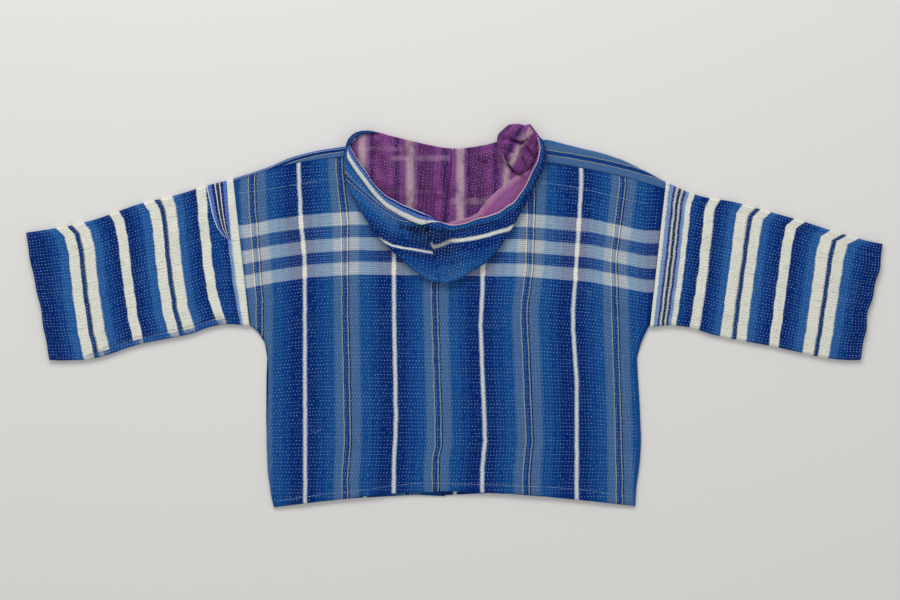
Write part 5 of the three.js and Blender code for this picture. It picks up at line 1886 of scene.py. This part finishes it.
def thread_finish(name: str, on_dark: Rgb, on_light: Rgb) -> bpy.types.Material:
    """Makes cotton thread, which shows differently on dark and on light cloth."""
    material = bpy.data.materials.new(name)
    material.use_nodes = True
    wires = Wires(material.node_tree)
    surface = material.node_tree.nodes["Principled BSDF"]
    place = wires.add("ShaderNodeTexCoord").outputs["Object"]
    light = wires.add("ShaderNodeAttribute", attribute_name="light").outputs["Fac"]
    tint = wires.blend(wires.between(light, 0.35, 0.7), paint(*on_dark), paint(*on_light))
    patch = wires.noise(place, 34.0, 3.0)
    tint = wires.blend(wires.between(patch, 0.42, 0.68, 0.0, 0.35), tint,
                       wires.blend(wires.between(light, 0.35, 0.7), paint(20, 62, 128),
                                   paint(206, 198, 184)))
    fine = wires.noise(place, 900.0, 2.0)
    wires.plug(surface.inputs["Base Color"], tint)
    surface.inputs["Roughness"].default_value = 0.9
    surface.inputs["Specular IOR Level"].default_value = 0.05
    bump = wires.add("ShaderNodeBump")
    bump.inputs["Strength"].default_value = 0.5
    bump.inputs["Distance"].default_value = 0.0002
    wires.plug(bump.inputs["Height"], fine)
    wires.plug(surface.inputs["Normal"], bump.outputs["Normal"])
    return material


# ---------------------------------------------------------------- the whole


@dataclass
class Studio:
    """A plain pale floor, soft light from beyond the hood, and a camera straight above."""

    frame_width: float = 1.350
    centre: tuple[float, float] = (-0.0075, 0.0235)
    distance: float = 3.2

    def make(self) -> None:
        """Sets up the floor, the lights and the camera."""
        self.floor()
        self.lights()
        self.camera()

    def floor(self) -> None:
        """Makes the floor."""
        mesh = bpy.data.meshes.new("studio_floor")
        reach = 4.0
        mesh.from_pydata([(-reach, -reach, 0), (reach, -reach, 0), (reach, reach, 0),
                          (-reach, reach, 0)], [], [(0, 1, 2, 3)])
        floor = bpy.data.objects.new("studio_floor", mesh)
        bpy.context.scene.collection.objects.link(floor)
        material = bpy.data.materials.new("studio_floor")
        material.use_nodes = True
        surface = material.node_tree.nodes["Principled BSDF"]
        surface.inputs["Base Color"].default_value = paint(226, 223, 218)
        surface.inputs["Roughness"].default_value = 0.9
        mesh.materials.append(material)

    def lights(self) -> None:
        """Makes the lights."""
        world = bpy.data.worlds.new("studio")
        world.use_nodes = True
        world.node_tree.nodes["Background"].inputs["Color"].default_value = (0.95, 0.97, 1.0, 1.0)
        world.node_tree.nodes["Background"].inputs["Strength"].default_value = 0.62
        bpy.context.scene.world = world
        lamp = bpy.data.lights.new("window", "AREA")
        lamp.shape, lamp.size, lamp.size_y, lamp.energy = "RECTANGLE", 2.2, 1.2, 62.0
        window = bpy.data.objects.new("window", lamp)
        window.location = (-0.5, 2.6, 1.9)
        aim = window.location.copy()
        window.rotation_euler = aim.to_track_quat("Z", "Y").to_euler()
        bpy.context.scene.collection.objects.link(window)

    def camera(self) -> None:
        """Makes the camera."""
        lens = bpy.data.cameras.new("camera")
        lens.sensor_width = 36.0
        lens.lens = 36.0 * self.distance / self.frame_width
        lens.clip_end = 20.0
        camera = bpy.data.objects.new("camera", lens)
        camera.location = (*self.centre, self.distance)
        bpy.context.scene.collection.objects.link(camera)
        bpy.context.scene.camera = camera
        bpy.context.scene.view_settings.view_transform = "Standard"


LEFT_SLEEVE = Sleeve(
    Side.LEFT, LEFT_SLEEVE_CHART,
    columns("reach topX topY lowX lowY", [
        (0.0, -332.3, 205.5, -307.8, -15.0), (0.15, -378.0, 193.5, -352.5, -13.5),
        (0.3, -424.5, 179.3, -397.5, -27.0), (0.45, -472.5, 168.0, -442.5, -36.0),
        (0.6, -519.0, 151.5, -487.5, -46.5), (0.75, -565.5, 138.0, -532.5, -61.5),
        (0.88, -606.0, 130.5, -571.5, -66.0), (1.0, -644.2, 125.0, -607.5, -66.0),
    ]),
    [Crease(-345, 165, -420, 120, 13, 1.9), Crease(-330, 40, -400, 60, 12, 1.7),
     Crease(-325, 5, -378, 8, 9, 1.6), Crease(-470, 130, -455, 40, 14, 1.5),
     Crease(-545, 105, -520, -20, 15, 1.6), Crease(-620, 95, -590, -40, 12, 1.3)],
    bow_at=[320, 367, 440, 500, 590], bow_high=[0, -3.2, 3.5, 4, 8], bow_low=[0, -5, 0.5, 1.5, 2],
    bow_head=[0, 0, -5, -3, -6], bow_foot=[0, 7, 5, 3, 3],
)
RIGHT_SLEEVE = Sleeve(
    Side.RIGHT, RIGHT_SLEEVE_CHART,
    columns("reach topX topY lowX lowY", [
        (0.0, 315.9, 201.0, 291.9, -16.5), (0.15, 363.8, 180.8, 339.0, -15.0),
        (0.3, 413.2, 171.8, 386.4, -27.8), (0.45, 462.5, 158.3, 433.8, -37.5),
        (0.6, 511.8, 144.8, 481.2, -46.5), (0.75, 561.0, 129.0, 528.6, -57.0),
        (0.88, 604.0, 116.3, 569.7, -64.5), (1.0, 644.2, 108.0, 607.5, -66.0),
    ]),
    [Crease(330, 160, 395, 110, 13, 1.8), Crease(310, 20, 372, 34, 11, 1.7),
     Crease(425, 130, 405, 10, 15, 1.4), Crease(500, 110, 478, -15, 15, 1.6),
     Crease(560, 95, 535, -30, 14, 1.5), Crease(612, 80, 590, -30, 11, 1.4)],
    bow_at=[308, 367, 440, 500, 590], bow_high=[0, 0, 2.3, 5.5, 6.3],
    bow_low=[0, -2.2, 2.1, 3.3, 3.6], bow_head=[0, -5, -8, -8, -10], bow_foot=[0, 0, 0, 1, 2],
    cuff_wave=2.6,
)
LEFT_FRONT = Front(
    Side.LEFT,
    [(-331.9, 205.8, 4.2, 0.111), (-280.5, 222.8, 4.2, 0), (-234.0, 240.8, 11.0, 0),
     (-166.5, 254.0, 15.2, 0)],
    [(-166.0, 238.0), (-155.0, 216.0), (-131.0, 181.5), (-85.0, 148.5), (-15.4, 130.0)],
    [(-268.5, -283.0), (-150.0, -273.0), (-60.0, -268.0), (-15.2, -270.0)],
)
RIGHT_FRONT = Front(
    Side.RIGHT,
    [(315.4, 201.0, 10.2, -0.111), (276.0, 221.5, 19.6, 0), (237.0, 238.5, 26.7, 0),
     (186.0, 252.0, 29.7, 0), (139.5, 264.0, 34.2, 0)],
    [(138.0, 229.0), (127.0, 210.0), (103.0, 179.0), (56.0, 148.0), (-14.6, 130.0)],
    [(267.0, -282.0), (150.0, -272.0), (60.0, -265.0), (-14.8, -268.5)],
    from_seam=True,
)


TOPSTITCHES = (
    [(275.5, 501.2), (316, 495.0), (361, 490.0), (392.4, 485.4), (415, 483.2), (460, 483.6),
     (500, 484.6), (545, 486.4), (590, 490.4), (632, 496.6)],
    [(236, 193.4), (261, 191), (296, 184.6), (325, 180), (343, 180)],
    [(541, 183), (547, 183), (578, 188), (608, 195), (630, 201), (648, 204)],
    [(580, 285), (582, 288.5), (585.5, 291), (592, 294)],
    [(312, 430.5), (315, 432.5), (321, 429)],
    [(437, 428), (441, 431), (440, 437)],
)
RED_FLECKS = ([(513, 308.5), (516, 307.5), (520, 308)], [(617, 434.5), (620, 433.5), (624, 434)])


def declare(piece: bpy.types.Object,
            node: str | None = None) -> None:
    """Attaches a piece of cloth to the root body, and hides the solid it stands for, if any.

    Args:
        piece: the piece.
        node: the solid that it stands for.
    """
    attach(piece, "root")
    if node:
        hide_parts(node)


def sew_all(back: Back, hood: Hood) -> list[bpy.types.Object]:
    """Sews the running stitch, the topstitching and the flecks, and gives their pieces."""
    thread = thread_finish("pale_thread", (160, 194, 230), (208, 198, 186))
    lining_thread = thread_finish("lining_thread", (206, 150, 196), (206, 150, 196))
    topstitch_thread = thread_finish("topstitch_thread", (172, 198, 222), (172, 198, 222))
    return [
        Stitching(seed=3).sew("back_stitches", back.rows_of_stitch(), thread),
        Stitching(seed=5).sew("sleeve_left_stitches", LEFT_SLEEVE.rows_of_stitch(), thread),
        Stitching(seed=6).sew("sleeve_right_stitches", RIGHT_SLEEVE.rows_of_stitch(), thread),
        Stitching(seed=8).sew("hood_stitches", hood.rows_of_stitch(Side.LEFT, True)
                              + hood.rows_of_stitch(Side.RIGHT, True), thread),
        Stitching(seed=9, sewn_share=0.8).sew(
            "lining_stitches", hood.rows_of_stitch(Side.LEFT, False)
            + hood.rows_of_stitch(Side.RIGHT, False), lining_thread),
        Stitching(pitch=2.6, length=2.8, width=0.7, height=0.5, wander=0.1, slant=0.05,
                  sewn_share=0.96, seed=12).sew(
            "topstitches", [back.on_top(line) for line in TOPSTITCHES], topstitch_thread),
        Stitching(pitch=1.4, length=2.4, width=0.6, height=0.6, wander=0.1, slant=0.1,
                  sewn_share=1.0, seed=14).sew(
            "red_flecks", [back.on_top(line) for line in RED_FLECKS],
            thread_finish("red_thread", (170, 40, 60), (170, 40, 60))),
    ]


def main() -> None:
    """Builds the jacket piece by piece, and the studio round it."""
    logging.basicConfig(level=logging.INFO, format="%(message)s")
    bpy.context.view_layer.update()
    weave_group()
    fade_group()
    stitch_tree()
    Studio().make()
    back = Back()
    panel = back.make(back_cotton(Cotton("back_cotton")))
    fronts = striped(Cotton("front_cotton"), BACK_CHART)
    front_left = LEFT_FRONT.make(
        back, fronts, striped(Cotton("left_shoulder_cotton"), LEFT_SHOULDER_CHART))
    front_right = RIGHT_FRONT.make(
        back, fronts, striped(Cotton("right_shoulder_cotton"), RIGHT_SHOULDER_CHART))
    sleeve_left = LEFT_SLEEVE.make(
        striped(Cotton("sleeve_left_cotton", jitter=1.5, crimp=0.8), LEFT_SLEEVE_CHART,
                WEDGE_CHART))
    sleeve_right = RIGHT_SLEEVE.make(
        striped(Cotton("sleeve_right_cotton", jitter=1.5, crimp=0.8), RIGHT_SLEEVE_CHART))
    hood = Hood()
    lining = lining_cotton(Cotton("lining_cotton", wear=0.05, jitter=0.6))
    outside = hood_cotton(Cotton("hood_cotton", crimp=0.3))
    hood_left, lining_left = hood.make(Side.LEFT, outside, lining)
    hood_right, lining_right = hood.make(Side.RIGHT, outside, lining)
    gather = Gather().make(lining)
    for piece in sew_all(back, hood):
        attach(piece, "root")
    declare(front_left, "front_left")
    declare(front_right, "front_right")
    declare(panel, "back")
    declare(sleeve_left, "sleeve_left")
    declare(sleeve_right, "sleeve_right")
    declare(hood_left, "hood_left")
    declare(hood_right, "hood_right")
    declare(lining_left, None)
    declare(lining_right, None)
    declare(gather, None)


if __name__ == "__main__":
    main()
